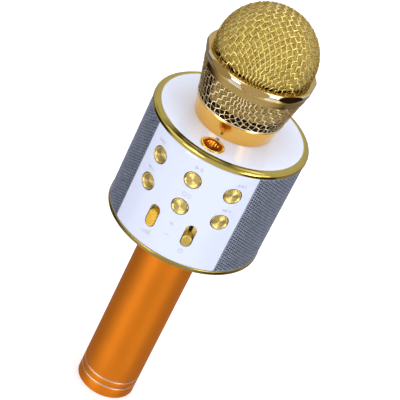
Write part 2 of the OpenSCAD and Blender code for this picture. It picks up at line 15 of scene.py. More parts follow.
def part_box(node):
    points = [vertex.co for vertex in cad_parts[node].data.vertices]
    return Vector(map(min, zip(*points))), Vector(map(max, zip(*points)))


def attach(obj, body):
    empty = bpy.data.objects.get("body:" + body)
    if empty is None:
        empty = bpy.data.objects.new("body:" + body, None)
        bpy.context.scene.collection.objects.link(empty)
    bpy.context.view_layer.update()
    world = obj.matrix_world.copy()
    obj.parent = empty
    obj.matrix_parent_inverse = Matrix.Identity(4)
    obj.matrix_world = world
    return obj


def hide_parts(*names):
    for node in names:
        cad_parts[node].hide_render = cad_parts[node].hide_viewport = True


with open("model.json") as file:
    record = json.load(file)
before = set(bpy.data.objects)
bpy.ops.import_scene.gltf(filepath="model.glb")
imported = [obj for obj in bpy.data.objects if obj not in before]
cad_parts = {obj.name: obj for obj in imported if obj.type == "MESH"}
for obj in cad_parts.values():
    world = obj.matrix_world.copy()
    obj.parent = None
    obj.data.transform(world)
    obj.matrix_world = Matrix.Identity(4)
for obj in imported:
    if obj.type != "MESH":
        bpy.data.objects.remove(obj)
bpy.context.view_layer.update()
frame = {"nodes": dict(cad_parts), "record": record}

MM = 0.001
TAU = 2 * pi


# ------------------------------------------------------------------ the frame's own measures


def corner(node, high):
    """Lowest or highest corner of a CAD node, in mm."""
    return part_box(node)[1 if high else 0] / MM


def on_wall(angle, z, radius):
    """Point on a round wall at an azimuth in degrees."""
    turn = radians(angle)
    return (radius * sin(turn), -radius * cos(turn), z)


HANDLE_R = corner("handle_tube", True).x
DRUM_R = corner("top_trim_ring", True).x
DRUM_LOW_Z = corner("bottom_trim_ring", False).z
DRUM_HIGH_Z = corner("top_plate", True).z
WALL_R = DRUM_R - 0.3
WALL_LOW_Z = corner("front_panel", False).z
WALL_HIGH_Z = corner("front_panel", True).z
PANEL_HALF = degrees(asin(corner("front_panel", True).x / WALL_R))
PANEL_WALL = 2.2
NECK_HIGH_Z = corner("neck_collar", True).z
MESH_LOW_Z = corner("grille_lower_mesh", False).z
BAND_LOW_Z = corner("grille_band", False).z
BAND_HIGH_Z = corner("grille_band", True).z
SLEEVE_R = 18.4
CONE_LOW_R = 22.9
CONE_HIGH_R = 26.6
CONE_SLOPE = (CONE_HIGH_R - CONE_LOW_R) / (BAND_LOW_Z - MESH_LOW_Z)
DOME_R = corner("grille_dome_mesh", True).x
DOME_Z = NECK_HIGH_Z + 30.5
DOME_HALF_H = corner("grille_dome_mesh", True).z - DOME_Z
BUTTON_STEP = 29.6
BUTTON_R = 4.2
BUTTON_FACE = DRUM_R - 0.5
ROW_HIGH_Z = 163.2
ROW_LOW_Z = 146.9
SLOT_ANGLE = 14.4
SLOT_Z = 133.7
SLOT_W = 5.7
SLOT_L = 13.0
REAR_HALF = 24  # degrees from the middle of the rear panel to a speaker wall
LAMP_TARGET = Vector((0, 0, 0.15))


# ------------------------------------------------------------------ camera, light, stage


def place_camera():
    """Main view: from above and a little to the right, rolled so that the microphone leans."""
    azimuth, elevation, roll = (radians(a) for a in (6.47, 32.44, 26.58))
    distance, shift_x, shift_y = 830.75, -3.086, 0.08
    target = Vector((0, 0, 128.12))
    back = Vector((
        sin(azimuth) * cos(elevation),
        -cos(azimuth) * cos(elevation),
        sin(elevation),
    ))
    level = Vector((0, 0, 1)).cross(back).normalized()
    upright = back.cross(level)
    right = cos(roll) * level + sin(roll) * upright
    up = cos(roll) * upright - sin(roll) * level
    place = (target + back * distance - right * shift_x - up * shift_y) * MM
    data = bpy.data.cameras.new("camera")
    data.lens = 148.44
    data.sensor_width = 36
    data.clip_start = 0.01
    data.clip_end = 20
    camera = bpy.data.objects.new("camera", data)
    turn = Matrix((right, up, back)).transposed().to_4x4()
    camera.matrix_world = Matrix.Translation(place) @ turn
    bpy.context.scene.collection.objects.link(camera)
    bpy.context.scene.camera = camera


def softbox(name, place, size, power, mirrored=True):
    """Rectangular area light that faces the microphone and is never seen by the camera."""
    data = bpy.data.lights.new(name, "AREA")
    data.shape = "RECTANGLE"
    data.size, data.size_y = size
    data.energy = power
    lamp = bpy.data.objects.new(name, data)
    lamp.location = place
    lamp.rotation_mode = "QUATERNION"
    lamp.rotation_quaternion = (LAMP_TARGET - Vector(place)).to_track_quat("-Z", "Y")
    lamp.visible_camera = False
    lamp.visible_glossy = mirrored
    bpy.context.scene.collection.objects.link(lamp)


class Tree:
    """Short way to add and join nodes in a material or world."""

    def __init__(self, owner):
        owner.use_nodes = True
        self.tree = owner.node_tree

    def add(self, kind, inputs=None, **settings):
        made = self.tree.nodes.new(kind)
        for key, value in settings.items():
            setattr(made, key, value)
        for key, value in (inputs or {}).items():
            self.put(made.inputs[key], value)
        return made

    def put(self, socket, value):
        if isinstance(value, bpy.types.NodeSocket):
            self.tree.links.new(value, socket)
        else:
            socket.default_value = value

    def maths(self, operation, first, second=0.0):
        made = self.add("ShaderNodeMath", {0: first, 1: second}, operation=operation)
        return made.outputs["Value"]

    def vector(self, operation, first, second=(0, 0, 0)):
        made = self.add("ShaderNodeVectorMath", {0: first, 1: second}, operation=operation)
        return made.outputs["Value" if operation in ("DOT_PRODUCT", "LENGTH") else "Vector"]

    def span(self, value, low, high, start=0.0, end=1.0):
        """Maps a value from start..end to low..high."""
        made = self.add("ShaderNodeMapRange", {
            "Value": value, "From Min": start, "From Max": end, "To Min": low, "To Max": high})
        return made.outputs["Result"]

    def ramp(self, value, *stops):
        """Colours at places along a value; a stop is (place, colour)."""
        made = self.add("ShaderNodeValToRGB", {0: value})
        marks = made.color_ramp.elements
        marks[0].position, marks[0].color = stops[0][0], rgba(stops[0][1])
        marks[1].position, marks[1].color = stops[-1][0], rgba(stops[-1][1])
        for place, colour in stops[1:-1]:
            marks.new(place).color = rgba(colour)
        return made.outputs["Color"]

    def mix(self, amount, first, second, blend="MIX", **settings):
        made = self.add("ShaderNodeMix", {0: amount, 6: first, 7: second}, data_type="RGBA",
                        blend_type=blend, **settings)
        return made.outputs[2]


def rgba(colour):
    return (*colour, 1.0)


def srgb(red, green, blue):
    """Linear colour from 0-255 screen values."""
    def part(value):
        value /= 255
        return value / 12.92 if value <= 0.04045 else ((value + 0.055) / 1.055) ** 2.4
    return (part(red), part(green), part(blue))


def make_world():
    """Soft room: bright above, dim towards the front and below, which polished metal mirrors."""
    world = bpy.data.worlds.new("studio")
    bpy.context.scene.world = world
    t = Tree(world)
    way = t.add("ShaderNodeTexCoord").outputs["Generated"]
    height = t.span(t.add("ShaderNodeSeparateXYZ", {0: way}).outputs[2], 0, 1, -1)

    def tone(shade, green=1.0, blue=1.0):
        return (shade, shade * green, shade * blue)
    cool = [(place, tone(shade, 1, 1.04)) for place, shade in (
        (0.42, 0.62), (0.5, 0.58), (0.6, 0.58), (0.8, 0.72))]
    room = t.ramp(height, (0.0, (0.60, 0.58, 0.55)), *cool, (1.0, (0.80, 0.82, 0.86)))
    bright, dim_bar = tone(1), tone(0.3)
    bars = t.ramp(
        height, (0.17, bright), (0.195, tone(0.1, 0.85, 0.75)), (0.31, tone(0.07, 0.85, 0.75)),
        (0.34, bright), (0.7, bright), (0.73, dim_bar), (0.77, dim_bar), (0.8, bright),
        (1.0, bright))

    level = t.vector("NORMALIZE", t.vector("MULTIPLY", way, (1, 1, 0)))
    front = Vector((-0.14, -0.99, 0)).normalized()
    facing = t.span(t.vector("DOT_PRODUCT", level, front), 0, 1, -1)
    barred = t.ramp(facing, (0.28, tone(0)), (0.33, bright), (0.72, bright), (0.8, tone(0)))
    lit = t.mix(barred, room, bars, "MULTIPLY")

    ahead = Vector((0.12, -1.0, 0)).normalized()
    away = t.span(t.vector("DOT_PRODUCT", level, ahead), 0, 1, 0.55, -0.1)
    under = t.span(height, 0, 1, 0.5, 0.42)
    above = t.span(height, 0, 1, 0.06, 0.12)
    shade = t.maths("MULTIPLY", t.maths("MULTIPLY", away, under), above)
    glow = t.mix(shade, lit, rgba((0.4, 0.36, 0.32)), "MULTIPLY")

    soft_edge = 0.01
    for azimuth, elevation, wide, power in ((-21.5, -9, 16, 4.3), (58.5, -9, 14, 4.2)):
        lamp = Vector(on_wall(azimuth, 0, cos(radians(elevation))))
        lamp.z = sin(radians(elevation))
        edge = cos(radians(wide))
        near = t.vector("DOT_PRODUCT", way, lamp)
        near = t.span(near, 0, power, edge - soft_edge, edge + soft_edge)
        glow = t.mix(near, glow, rgba((1.0, 0.97, 0.92)), "ADD", clamp_factor=False)
    seen = t.add("ShaderNodeLightPath").outputs["Is Camera Ray"]
    background = t.tree.nodes["Background"]
    t.put(background.inputs["Color"], t.mix(seen, glow, rgba((1, 1, 1))))
    background.inputs["Strength"].default_value = 1.0


def make_floor():
    """Plain pale floor under the microphone."""
    half = 6.0
    mesh = bpy.data.meshes.new("floor")
    corners = [(-half, -half, 0), (half, -half, 0), (half, half, 0), (-half, half, 0)]
    mesh.from_pydata(corners, [], [(0, 1, 2, 3)])
    material = bpy.data.materials.new("pale_floor")
    t = Tree(material)
    shader = t.tree.nodes["Principled BSDF"]
    grain = t.add("ShaderNodeTexNoise", {"Scale": 3.0, "Detail": 2.0})
    shade = t.ramp(grain.outputs["Fac"], (0.0, (0.93, 0.93, 0.935)), (1.0, (0.96, 0.96, 0.96)))
    t.put(shader.inputs["Base Color"], shade)
    t.put(shader.inputs["Emission Color"], shade)
    shader.inputs["Emission Strength"].default_value = 0.22
    shader.inputs["Roughness"].default_value = 0.9
    shader.inputs["Specular IOR Level"].default_value = 0.1
    mesh.materials.append(material)
    floor = bpy.data.objects.new("floor", mesh)
    floor.visible_glossy = False
    bpy.context.scene.collection.objects.link(floor)


place_camera()
make_world()
make_floor()
softbox("key_left", (-1.1, -0.75, 0.95), (0.9, 1.4), 4)
softbox("side_right", (1.15, -0.45, 0.6), (0.8, 1.4), 3.25)
softbox("overhead", (0.1, 0.25, 1.7), (1.4, 1.0), 8)
softbox("rear", (0.2, 1.5, 0.8), (1.6, 0.8), 5, False)
softbox("front_fill", (0.25, -1.5, 0.75), (1.5, 1.0), 5.5, False)
softbox("sparkle_left", (-0.52, -1.3, 0.9), (0.25, 0.35), 1.4)
softbox("sparkle_right", (1.19, -0.73, 0.9), (0.25, 0.35), 1.4)
bpy.context.scene.view_settings.view_transform = "Standard"
bpy.context.scene.view_settings.look = "None"


# ------------------------------------------------------------------ materials


class Finish(Tree):
    """A material around one Principled shader, with helpers for its textures."""

    def __init__(self, name, **constants):
        self.material = bpy.data.materials.new(name)
        super().__init__(self.material)
        self.shader = self.tree.nodes["Principled BSDF"]
        self.coords = self.add("ShaderNodeTexCoord").outputs["Object"]
        for key, value in constants.items():
            self.shader.inputs[key.replace("_", " ")].default_value = value

    def stretched(self, x, y, z):
        """Object coordinates with each axis scaled, for grain that runs one way."""
        return self.vector("MULTIPLY", self.coords, (x, y, z))

    def noise(self, scale, detail=3.0, rough=0.5, vector=None):
        made = self.add("ShaderNodeTexNoise", {
            "Vector": vector or self.coords,
            "Scale": scale, "Detail": detail, "Roughness": rough,
        })
        return made.outputs["Fac"]

    def cells(self, scale):
        made = self.add("ShaderNodeTexVoronoi", {"Vector": self.coords, "Scale": scale})
        return made.outputs["Distance"]

    def rings(self, away, pitch_mm):
        """Wave that repeats every pitch_mm of a distance."""
        return self.maths("SINE", self.maths("MULTIPLY", away, TAU / (pitch_mm * MM)))

    def distance(self, along_axis=False):
        """Distance from the axis, or from the origin along it."""
        parts = self.add("ShaderNodeSeparateXYZ", {0: self.coords}).outputs
        used = {0: parts[2]} if along_axis else {0: parts[0], 1: parts[1]}
        return self.vector("LENGTH", self.add("ShaderNodeCombineXYZ", used).outputs[0])

    def colour(self, value):
        self.put(self.shader.inputs["Base Color"], value)

    def blend(self, value, low, high):
        """Base colour from low to high across the middle of a noise."""
        self.colour(self.ramp(value, (0.3, low), (0.7, high)))

    def tint(self, colour, spread, scale, detail=3.0):
        """Base colour that drifts between its darker and lighter neighbours."""
        self.blend(self.noise(scale, detail), *shades(colour, spread))

    def gloss(self, value, low, high, start=0.3, end=0.7):
        """Roughness from low to high across a value."""
        self.put(self.shader.inputs["Roughness"], self.span(value, low, high, start, end))

    def bump(self, height, depth_mm, strength):
        made = self.add("ShaderNodeBump", {
            "Height": height, "Distance": depth_mm * MM, "Strength": strength})
        self.put(self.shader.inputs["Normal"], made.outputs["Normal"])


def shades(colour, spread):
    """Darker and lighter neighbours of a colour."""
    low = tuple(c * (1 - spread) for c in colour)
    high = tuple(min(1.0, c * (1 + spread)) for c in colour)
    return low, high


def polished_metal(name, colour, rough, spread=0.06, smudge=60.0, painted_reflection_streak=None):
    """Plated metal: faint tarnish, smudges in the gloss and hairline scratches."""
    m = Finish(name, Metallic=1.0)
    m.tint(colour, spread, 35.0, 2.0)
    # An optional painted reflection is laid into the base colour here.
    if painted_reflection_streak:
        painted_reflection_streak(m)
    m.gloss(m.noise(smudge, 5.0, 0.65), rough * 0.75, rough * 1.5, 0.3, 0.75)
    m.bump(m.noise(900.0, 2.0, 0.5, m.stretched(1.0, 0.15, 0.6)), 0.004, 0.25)
    return m.material


def shoulder_painted_reflection_streak(m):
    """Painted reflection: a long, uneven dark stripe in the base colour, strongest in front, where
    a ring's shoulder would mirror a dark room.
    """
    inner, outer = (DRUM_R - 3.2) * MM, (DRUM_R - 0.05) * MM
    fade_in, fade_out = 0.3 * MM, 0.5 * MM
    front, flank = -0.0375, -0.029
    radius = m.distance()
    painted_reflection_streak = m.maths("MULTIPLY", m.span(radius, 0, 1, inner, inner + fade_in),
                     m.span(radius, 1, 0, outer - fade_out, outer))
    ahead = m.add("ShaderNodeSeparateXYZ", {0: m.coords}).outputs[1]
    painted_reflection_streak = m.maths("MULTIPLY", painted_reflection_streak, m.span(ahead, 1.0, 0.3, front, flank))
    painted_reflection_streak = m.maths("MULTIPLY", painted_reflection_streak, m.span(m.noise(70.0, 1.0), 0.8, 1.0, 0.4, 0.6))
    plate = m.shader.inputs["Base Color"].links[0].from_socket
    # Dark brown of the painted reflection, mixed into the plate colour.
    m.colour(m.mix(painted_reflection_streak, plate, rgba(srgb(22, 13, 6))))


def anodised(name, colour):
    """Bead-blasted and dyed aluminium: fine even grain and a soft colour drift."""
    m = Finish(name, Metallic=0.75)
    m.tint(colour, 0.07, 18.0)
    grain = m.noise(5200.0, 3.0, 0.6)
    m.gloss(grain, 0.4, 0.5)
    drawn = m.noise(420.0, 2.0, 0.5, m.stretched(1.0, 1.0, 0.03))
    m.bump(m.maths("ADD", grain, m.maths("MULTIPLY", drawn, 0.8)), 0.012, 0.35)
    return m.material


def satin_metal(name, colour, rough, metallic):
    """Metallised plastic: part gloss, part even colour."""
    m = Finish(name, Metallic=metallic)
    m.tint(colour, 0.1, 500.0)
    m.gloss(m.noise(900.0), rough * 0.8, rough * 1.25)
    m.bump(m.noise(1500.0, 2.0), 0.01, 0.3)
    return m.material


def turned_metal(name, colour, rough, pitch_mm):
    """Metal with fine lathe rings, pitch_mm apart, along the axis."""
    m = Finish(name, Metallic=1.0)
    m.tint(colour, 0.05, 300.0, 2.0)
    rings = m.rings(m.distance(along_axis=True), pitch_mm)
    m.gloss(rings, rough * 0.8, rough * 1.25, -1.0, 1.0)
    m.bump(rings, 0.004, 0.35)
    return m.material


def spun_metal(name, colour, rough, pitch_mm):
    """Spun face: rings about the piece's own axis, and the fan of light that they make."""
    m = Finish(name, Metallic=1.0, Anisotropic=0.9, Anisotropic_Rotation=0.25)
    m.tint(colour, 0.08, 700.0, 2.0)
    rings = m.rings(m.distance(), pitch_mm)
    m.gloss(rings, rough * 0.85, rough * 1.2, -1.0, 1.0)
    tangent = m.add("ShaderNodeTangent", direction_type="RADIAL", axis="Z")
    m.put(m.shader.inputs["Tangent"], tangent.outputs["Tangent"])
    m.bump(rings, 0.003, 0.3)
    return m.material


def moulded_plastic(name, colour, rough, grain=0.0, spread=0.02, coat=0.0, gloss=0.5):
    """Moulded plastic, from glossy to finely textured."""
    m = Finish(name, Coat_Weight=coat, Coat_Roughness=0.06, Specular_IOR_Level=gloss)
    m.tint(colour, spread, 28.0)
    m.gloss(m.noise(90.0, 4.0, 0.6), rough * 0.8, rough * 1.3)
    texture = m.noise(2600.0, 3.0, 0.6)
    m.bump(m.maths("ADD", m.noise(160.0, 2.0), m.maths("MULTIPLY", texture, grain)), 0.02, 0.2)
    return m.material


def speaker_paint():
    m = Finish("grille_paint", Metallic=0.75)
    m.blend(m.noise(400.0), srgb(150, 160, 184), srgb(180, 188, 208))
    m.gloss(m.noise(1500.0), 0.34, 0.5)
    m.bump(m.noise(4200.0, 2.0), 0.01, 0.3)
    return m.material


def cloth():
    m = Finish("speaker_cloth", Roughness=0.9, Sheen_Weight=0.2)
    weave = m.maths("MULTIPLY", m.rings(m.distance(along_axis=True), 0.4), m.noise(3000.0, 1.0))
    m.colour(m.ramp(weave, (0.0, srgb(8, 8, 11)), (0.6, srgb(26, 26, 31))))
    m.bump(weave, 0.05, 0.6)
    return m.material


def foam_skin(name, shaded_pore, middle, strand):
    """Open-cell foam: its holes painted dark as painted shade, between lighter strands."""
    m = Finish(name, Roughness=0.85, Sheen_Weight=0.25, Sheen_Roughness=0.5)
    pores = m.cells(1500.0)
    blotch = m.noise(240.0, 3.0, 0.6)
    mixed = m.maths("ADD", m.maths("MULTIPLY", pores, 0.75), m.maths("MULTIPLY", blotch, 0.45))
    # The darkest stop is painted shade in the foam's holes.
    m.colour(m.ramp(mixed, (0.32, shaded_pore), (0.5, middle), (0.78, strand)))
    m.bump(pores, 0.35, 0.9)
    return m.material


def circuit_board():
    m = Finish("circuit_board", Coat_Weight=0.4, Roughness=0.4)
    tracks = m.add("ShaderNodeTexBrick", {
        "Vector": m.coords, "Scale": 420.0,
        "Color1": rgba(srgb(16, 78, 44)), "Color2": rgba(srgb(20, 92, 52)),
        "Mortar": rgba(srgb(44, 128, 76)), "Mortar Size": 0.03,
    })
    m.colour(tracks.outputs["Color"])
    m.bump(tracks.outputs["Fac"], 0.03, 0.4)
    return m.material


def battery_wrap():
    m = Finish("battery_wrap", Coat_Weight=0.3)
    m.blend(m.noise(60.0, 2.0), srgb(28, 70, 140), srgb(40, 88, 165))
    m.gloss(m.noise(200.0), 0.25, 0.4)
    m.bump(m.noise(120.0, 2.0, 0.5, m.stretched(1, 1, 0.1)), 0.08, 0.3)
    return m.material


def paper_cone():
    m = Finish("paper_cone", Roughness=0.85)
    fibres = m.noise(1800.0, 4.0, 0.7, m.stretched(1.0, 0.3, 0.3))
    m.blend(fibres, srgb(34, 33, 35), srgb(66, 64, 64))
    m.bump(fibres, 0.05, 0.6)
    return m.material


def lens():
    m = Finish("status_lens", Coat_Weight=1.0, Coat_Roughness=0.04, Roughness=0.2)
    m.colour(m.ramp(m.cells(3000.0), (0.0, srgb(58, 74, 92)), (0.8, srgb(104, 122, 140))))
    return m.material


MATERIALS = {
    "anodised": anodised("orange_anodising", srgb(227, 127, 12)),
    "cut": turned_metal("cut_aluminium", srgb(236, 196, 170), 0.22, 0.12),
    # The top ring's gold carries the painted reflection of its shoulder.
    "trim": polished_metal("gold_trim", srgb(228, 204, 104), 0.1, painted_reflection_streak=shoulder_painted_reflection_streak),
    "satin": polished_metal("satin_gold_trim", srgb(184, 161, 86), 0.24),
    "neck": polished_metal("neck_gold", srgb(248, 194, 96), 0.16),
    "lip": polished_metal("pale_lip", srgb(240, 228, 200), 0.12),
    "band": polished_metal("band_gold", srgb(212, 180, 112), 0.08),
    # Paler gold on the corners between the band's flats, a painted highlight.
    "band_corner_highlight": polished_metal("band_gold_painted_highlight", srgb(240, 226, 190), 0.08),
    "wire": polished_metal("wire_gold", srgb(222, 202, 126), 0.26, 0.1, 900.0),
    # Paler copy of the wire gold for the cone, a painted reflection of the white plate above.
    "painted_lit_wire": polished_metal("painted_lit_wire_gold", srgb(220, 202, 160), 0.27, 0.1, 900.0),
    "button": spun_metal("spun_gold", srgb(228, 206, 132), 0.42, 0.16),
    "button_rim": polished_metal("button_rim_gold", srgb(238, 208, 122), 0.16),
    "badge": polished_metal("badge_gold", srgb(226, 190, 100), 0.07),
    "badge_floor": polished_metal("badge_bronze", srgb(138, 78, 40), 0.12, 0.2),
    # The panels and the top plate share one white plastic; the panels' copy is painted darker and
    # the top's paler, painted shade and light for how the lamps fall on each.
    "white": moulded_plastic("gloss_white", srgb(200, 206, 225), 0.12, coat=0.3),
    "painted_lit_white_top": moulded_plastic("gloss_painted_lit_white_top", srgb(224, 230, 247), 0.12, coat=0.3),
    "black": moulded_plastic("black_plastic", srgb(30, 24, 22), 0.6, 0.5, 0.1, gloss=0.3),
    # Dark brown painted shade, laid on hollows inside the head where shade falls.
    "gap": moulded_plastic("brown_shadow", srgb(38, 20, 10), 0.8, 0.5, 0.15, gloss=0.1),
    "mark": moulded_plastic("grey_print", srgb(172, 174, 188), 0.4, 0.3, 0.05),
    "grille": speaker_paint(),
    "cloth": cloth(),
    "foam": foam_skin("foam_skin", srgb(92, 70, 20), srgb(166, 138, 46), srgb(208, 184, 82)),
    # Darker copy of the foam for below the band, painted shade.
    "shaded_foam": foam_skin(
        "shaded_foam_skin", srgb(66, 48, 16), srgb(140, 112, 42), srgb(182, 156, 74)),
    "board": circuit_board(),
    "battery": battery_wrap(),
    "paper": paper_cone(),
    "steel": polished_metal("steel", srgb(190, 192, 196), 0.28, 0.08, 300.0),
    "magnet": moulded_plastic("ferrite", srgb(66, 66, 70), 0.6, 1.0, 0.12),
    # The slot recesses are painted paler, painted light in place of the light their depth shades
    # off.
    "recess": satin_metal("painted_lit_recess_bronze", srgb(250, 222, 136), 0.35, 0.3),
    "knob": satin_metal("knob_gold", srgb(206, 180, 90), 0.3, 0.7),
    "slider": satin_metal("slider_orange_gold", srgb(214, 170, 54), 0.3, 0.5),
    "lens": lens(),
}
SLOT_FINISH = {
    "handle_anodised": "anodised", "gold_trim": "trim", "gold_neck": "neck",
    "gold_button": "button", "gold_mesh": "wire", "foam": "foam", "panel_white": "white",
    "speaker_mesh": "grille", "black_plastic": "black", "circuit_board": "board",
    "steel_parts": "steel", "magnet": "magnet", "paper_cone": "paper",
    "battery_wrap": "battery", "slot_recess": "recess", "slider_orange": "slider",
    "status_lens": "lens",
}


# ------------------------------------------------------------------ mesh helpers


def add_piece(name, shape, finishes, body, replaces=(), paint=None, crease=30, place=None):
    """Makes a piece from (points, faces) in mm. paint gives a face's finish from its centre."""
    points, faces = shape
    mesh = bpy.data.meshes.new(name)
    mesh.from_pydata([(x * MM, y * MM, z * MM) for x, y, z in points], [], faces)
    work = bmesh.new()
    work.from_mesh(mesh)
    bmesh.ops.remove_doubles(work, verts=work.verts, dist=1e-7)
    bmesh.ops.dissolve_degenerate(work, edges=work.edges, dist=1e-8)
    bmesh.ops.recalc_face_normals(work, faces=work.faces)
    work.to_mesh(mesh)
    work.free()
    for finish in finishes:
        mesh.materials.append(MATERIALS[finish])
    if paint:
        for face in mesh.polygons:
            face.material_index = paint(face.center / MM)
    mesh.polygons.foreach_set("use_smooth", [True] * len(mesh.polygons))
    mesh.set_sharp_from_angle(angle=radians(crease))
    piece = bpy.data.objects.new(name, mesh)
    bpy.context.scene.collection.objects.link(piece)
    if place:
        piece.matrix_world = place
    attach(piece, body)
    if replaces:
        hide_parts(*replaces)
    return piece


def join(*shapes):
    """One shape of several."""
    points, faces = [], []
    for more_points, more_faces in shapes:
        start = len(points)
        points.extend(more_points)
        faces.extend([tuple(i + start for i in face) for face in more_faces])
    return points, faces


def rounded(profile, radius, steps=4):
    """Closed profile with its corners softened. Corners on the axis stay."""
    made = []
    count = len(profile)
    for i, here in enumerate(profile):
        here = Vector(here)
        before = Vector(profile[i - 1]) - here
        after = Vector(profile[(i + 1) % count]) - here
        reach = min(radius, before.length * 0.45, after.length * 0.45)
        if here.x < 1e-6 or reach < 1e-4:
            made.append(here)
            continue
        start = here + before.normalized() * reach
        end = here + after.normalized() * reach
        for k in range(steps + 1):
            t = k / steps
            made.append(start * (1 - t) ** 2 + here * 2 * t * (1 - t) + end * t * t)
    return [tuple(p) for p in made]


def lathe(profile, segments=144, reshape=None):
    """Turns a closed (r, z) profile about the axis. reshape may move (r, angle, z)."""
    points, faces, rows = [], [], []
    for r, z in profile:
        if r < 1e-6:
            rows.append([len(points)] * segments)
            points.append((0, 0, z))
            continue
        rows.append(range(len(points), len(points) + segments))
        for k in range(segments):
            angle = TAU * k / segments
            radius, height = reshape(r, angle, z) if reshape else (r, z)
            points.append((radius * cos(angle), radius * sin(angle), height))
    for i, low in enumerate(rows):
        high = rows[(i + 1) % len(rows)]
        for k in range(segments):
            after = (k + 1) % segments
            face = []
            for index in (low[k], low[after], high[after], high[k]):
                if index not in face:
                    face.append(index)
            if len(face) > 2:
                faces.append(tuple(face))
    return points, faces


def dense(profile, step):
    """Closed profile with points at most step apart."""
    made = []
    for i, here in enumerate(profile):
        after = profile[(i + 1) % len(profile)]
        count = max(1, ceil(dist(here, after) / step))
        for k in range(count):
            t = k / count
            made.append(tuple(a + (b - a) * t for a, b in zip(here, after)))
    return made


def stadium(width, length, grow=0.0, count=20):
    """Outline with round ends, long in y. Equal width and length make a circle."""
    radius = width / 2 + grow
    reach = (length - width) / 2
    made = []
    for end, start in ((1, 0.0), (-1, pi)):
        for k in range(count + 1):
            angle = start + pi * k / count
            made.append((radius * cos(angle), radius * sin(angle) + end * reach))
    return made


def rounded_box(width, length, corner_r, grow=0.0):
    """Outline of a rectangle with round corners."""
    made, count, radius = [], 4, corner_r + grow
    for k, (sx, sy) in enumerate(((1, 1), (-1, 1), (-1, -1), (1, -1))):
        x, y = sx * (width / 2 - corner_r), sy * (length / 2 - corner_r)
        for i in range(count + 1):
            angle = (k + i / count) * pi / 2
            made.append((x + radius * cos(angle), y + radius * sin(angle)))
    return made


def inside(point, loop):
    """Whether a point lies inside an outline."""
    x, y = point
    hit = False
    for (x1, y1), (x2, y2) in zip(loop, loop[1:] + loop[:1]):
        if (y1 > y) != (y2 > y) and x < (x2 - x1) * (y - y1) / (y2 - y1) + x1:
            hit = not hit
    return hit


def fill(loops, step):
    """Triangles between an outline and its holes, with inner points about step apart."""
    points, edges = [], []
    for loop in loops:
        start = len(points)
        points.extend(loop)
        edges.extend((start + i, start + (i + 1) % len(loop)) for i in range(len(loop)))
    borders = list(points)
    clear = (0.35 * min(step)) ** 2

    def within(point):
        return inside(point, loops[0]) and not any(inside(point, hole) for hole in loops[1:])
    xs, ys = zip(*loops[0])
    row, y = 0, min(ys) + step[1] / 2
    while y < max(ys):
        x = min(xs) + step[0] * (0.5 if row % 2 else 1.0)
        while x < max(xs):
            near = min((p[0] - x) ** 2 + (p[1] - y) ** 2 for p in borders)
            if near > clear and within((x, y)):
                points.append((x, y))
            x += step[0]
        y += step[1]
        row += 1
    made = geometry.delaunay_2d_cdt([Vector(p) for p in points], edges, [], 0, 1e-6)
    places = [tuple(p) for p in made[0]]
    kept = [
        tuple(face) for face in made[2]
        if within(tuple(sum(places[i][a] for i in face) / len(face) for a in (0, 1)))]
    return places, kept


def plate(loops, place, thickness, bevel, step):
    """Solid plate. Each loop is a function (grow, depth) -> outline, the outer one first;
    place(u, v, depth) puts a point in space."""
    parts = []
    for grow, depth in ((bevel, 0.0), (0.0, thickness)):
        edges = [loop(-grow if i == 0 else grow, depth) for i, loop in enumerate(loops)]
        places, triangles = fill(edges, step)
        parts.append(([place(u, v, depth) for u, v in places], triangles))
    rows = [(bevel, 0.0), (bevel * 0.62, bevel * 0.08), (bevel * 0.3, bevel * 0.3),
            (bevel * 0.08, bevel * 0.62), (0.0, bevel), (0.0, thickness)]
    for i, loop in enumerate(loops):
        rings = [
            [place(u, v, depth) for u, v in loop(-grow if i == 0 else grow, depth)]
            for grow, depth in rows]
        parts.append(strip(rings))
    return join(*parts)


def strip(rings, closed=True, caps=0):
    """Faces between rings of equal length. caps closes the first ring (1) or both ends (2)."""
    count = len(rings[0])
    points = [p for ring in rings for p in ring]
    faces = []
    for i in range(len(rings) - 1):
        for k in range(count if closed else count - 1):
            after = (k + 1) % count
            a, b = i * count, (i + 1) * count
            faces.append((a + k, a + after, b + after, b + k))
    last = len(points) - count
    faces += [tuple(range(start, start + count)) for start in (0, last)[:caps]]
    return points, faces


def wall_place(u, v, depth):
    """u is an azimuth times the wall's radius, so that it is a length round the wall."""
    return on_wall(degrees(u / WALL_R), v, WALL_R - depth)


def wall_hole(outline, angle, z):
    """Loop for plate(): a hole cut straight in at an azimuth, its sides parallel."""
    def loop(grow, depth):
        reach = WALL_R - depth
        return [
            ((radians(angle) + asin(x / reach)) * WALL_R, z + y) for x, y in outline(grow)]
    return loop


def wall_outline(middle, half, low, high):
    """Loop for plate(): the edge of a panel of the round wall."""
    width = 2 * radians(half) * WALL_R
    centre = radians(middle) * WALL_R

    def loop(grow, depth):
        edge = dense(rounded_box(width, high - low, 0.7, grow), 1.6)
        return [(centre + x, (low + high) / 2 + y) for x, y in edge]
    return loop


def outward(angle, z):
    """Places a piece that stands on local +Z so that it points out of the body."""
    out = Vector(on_wall(angle, 0, 1))
    up = Vector((0, 0, 1))
    across = up.cross(out)
    turned = Matrix((across, up, out)).transposed().to_4x4()
    return Matrix.Translation((0, 0, z * MM)) @ turned


def tube(path, normals, radius, sides=6):
    """Round wire along a path, with a surface normal at each point to steer it."""
    rings = []
    for i, here in enumerate(path):
        along = (path[min(i + 1, len(path) - 1)] - path[max(i - 1, 0)]).normalized()
        up = normals[i] - along * normals[i].dot(along)
        up.normalize()
        side = along.cross(up)
        rings.append([
            tuple(here + radius * (cos(angle) * up + sin(angle) * side))
            for angle in (TAU * k / sides for k in range(sides))])
    return strip(rings, caps=2)


# ------------------------------------------------------------------ handle


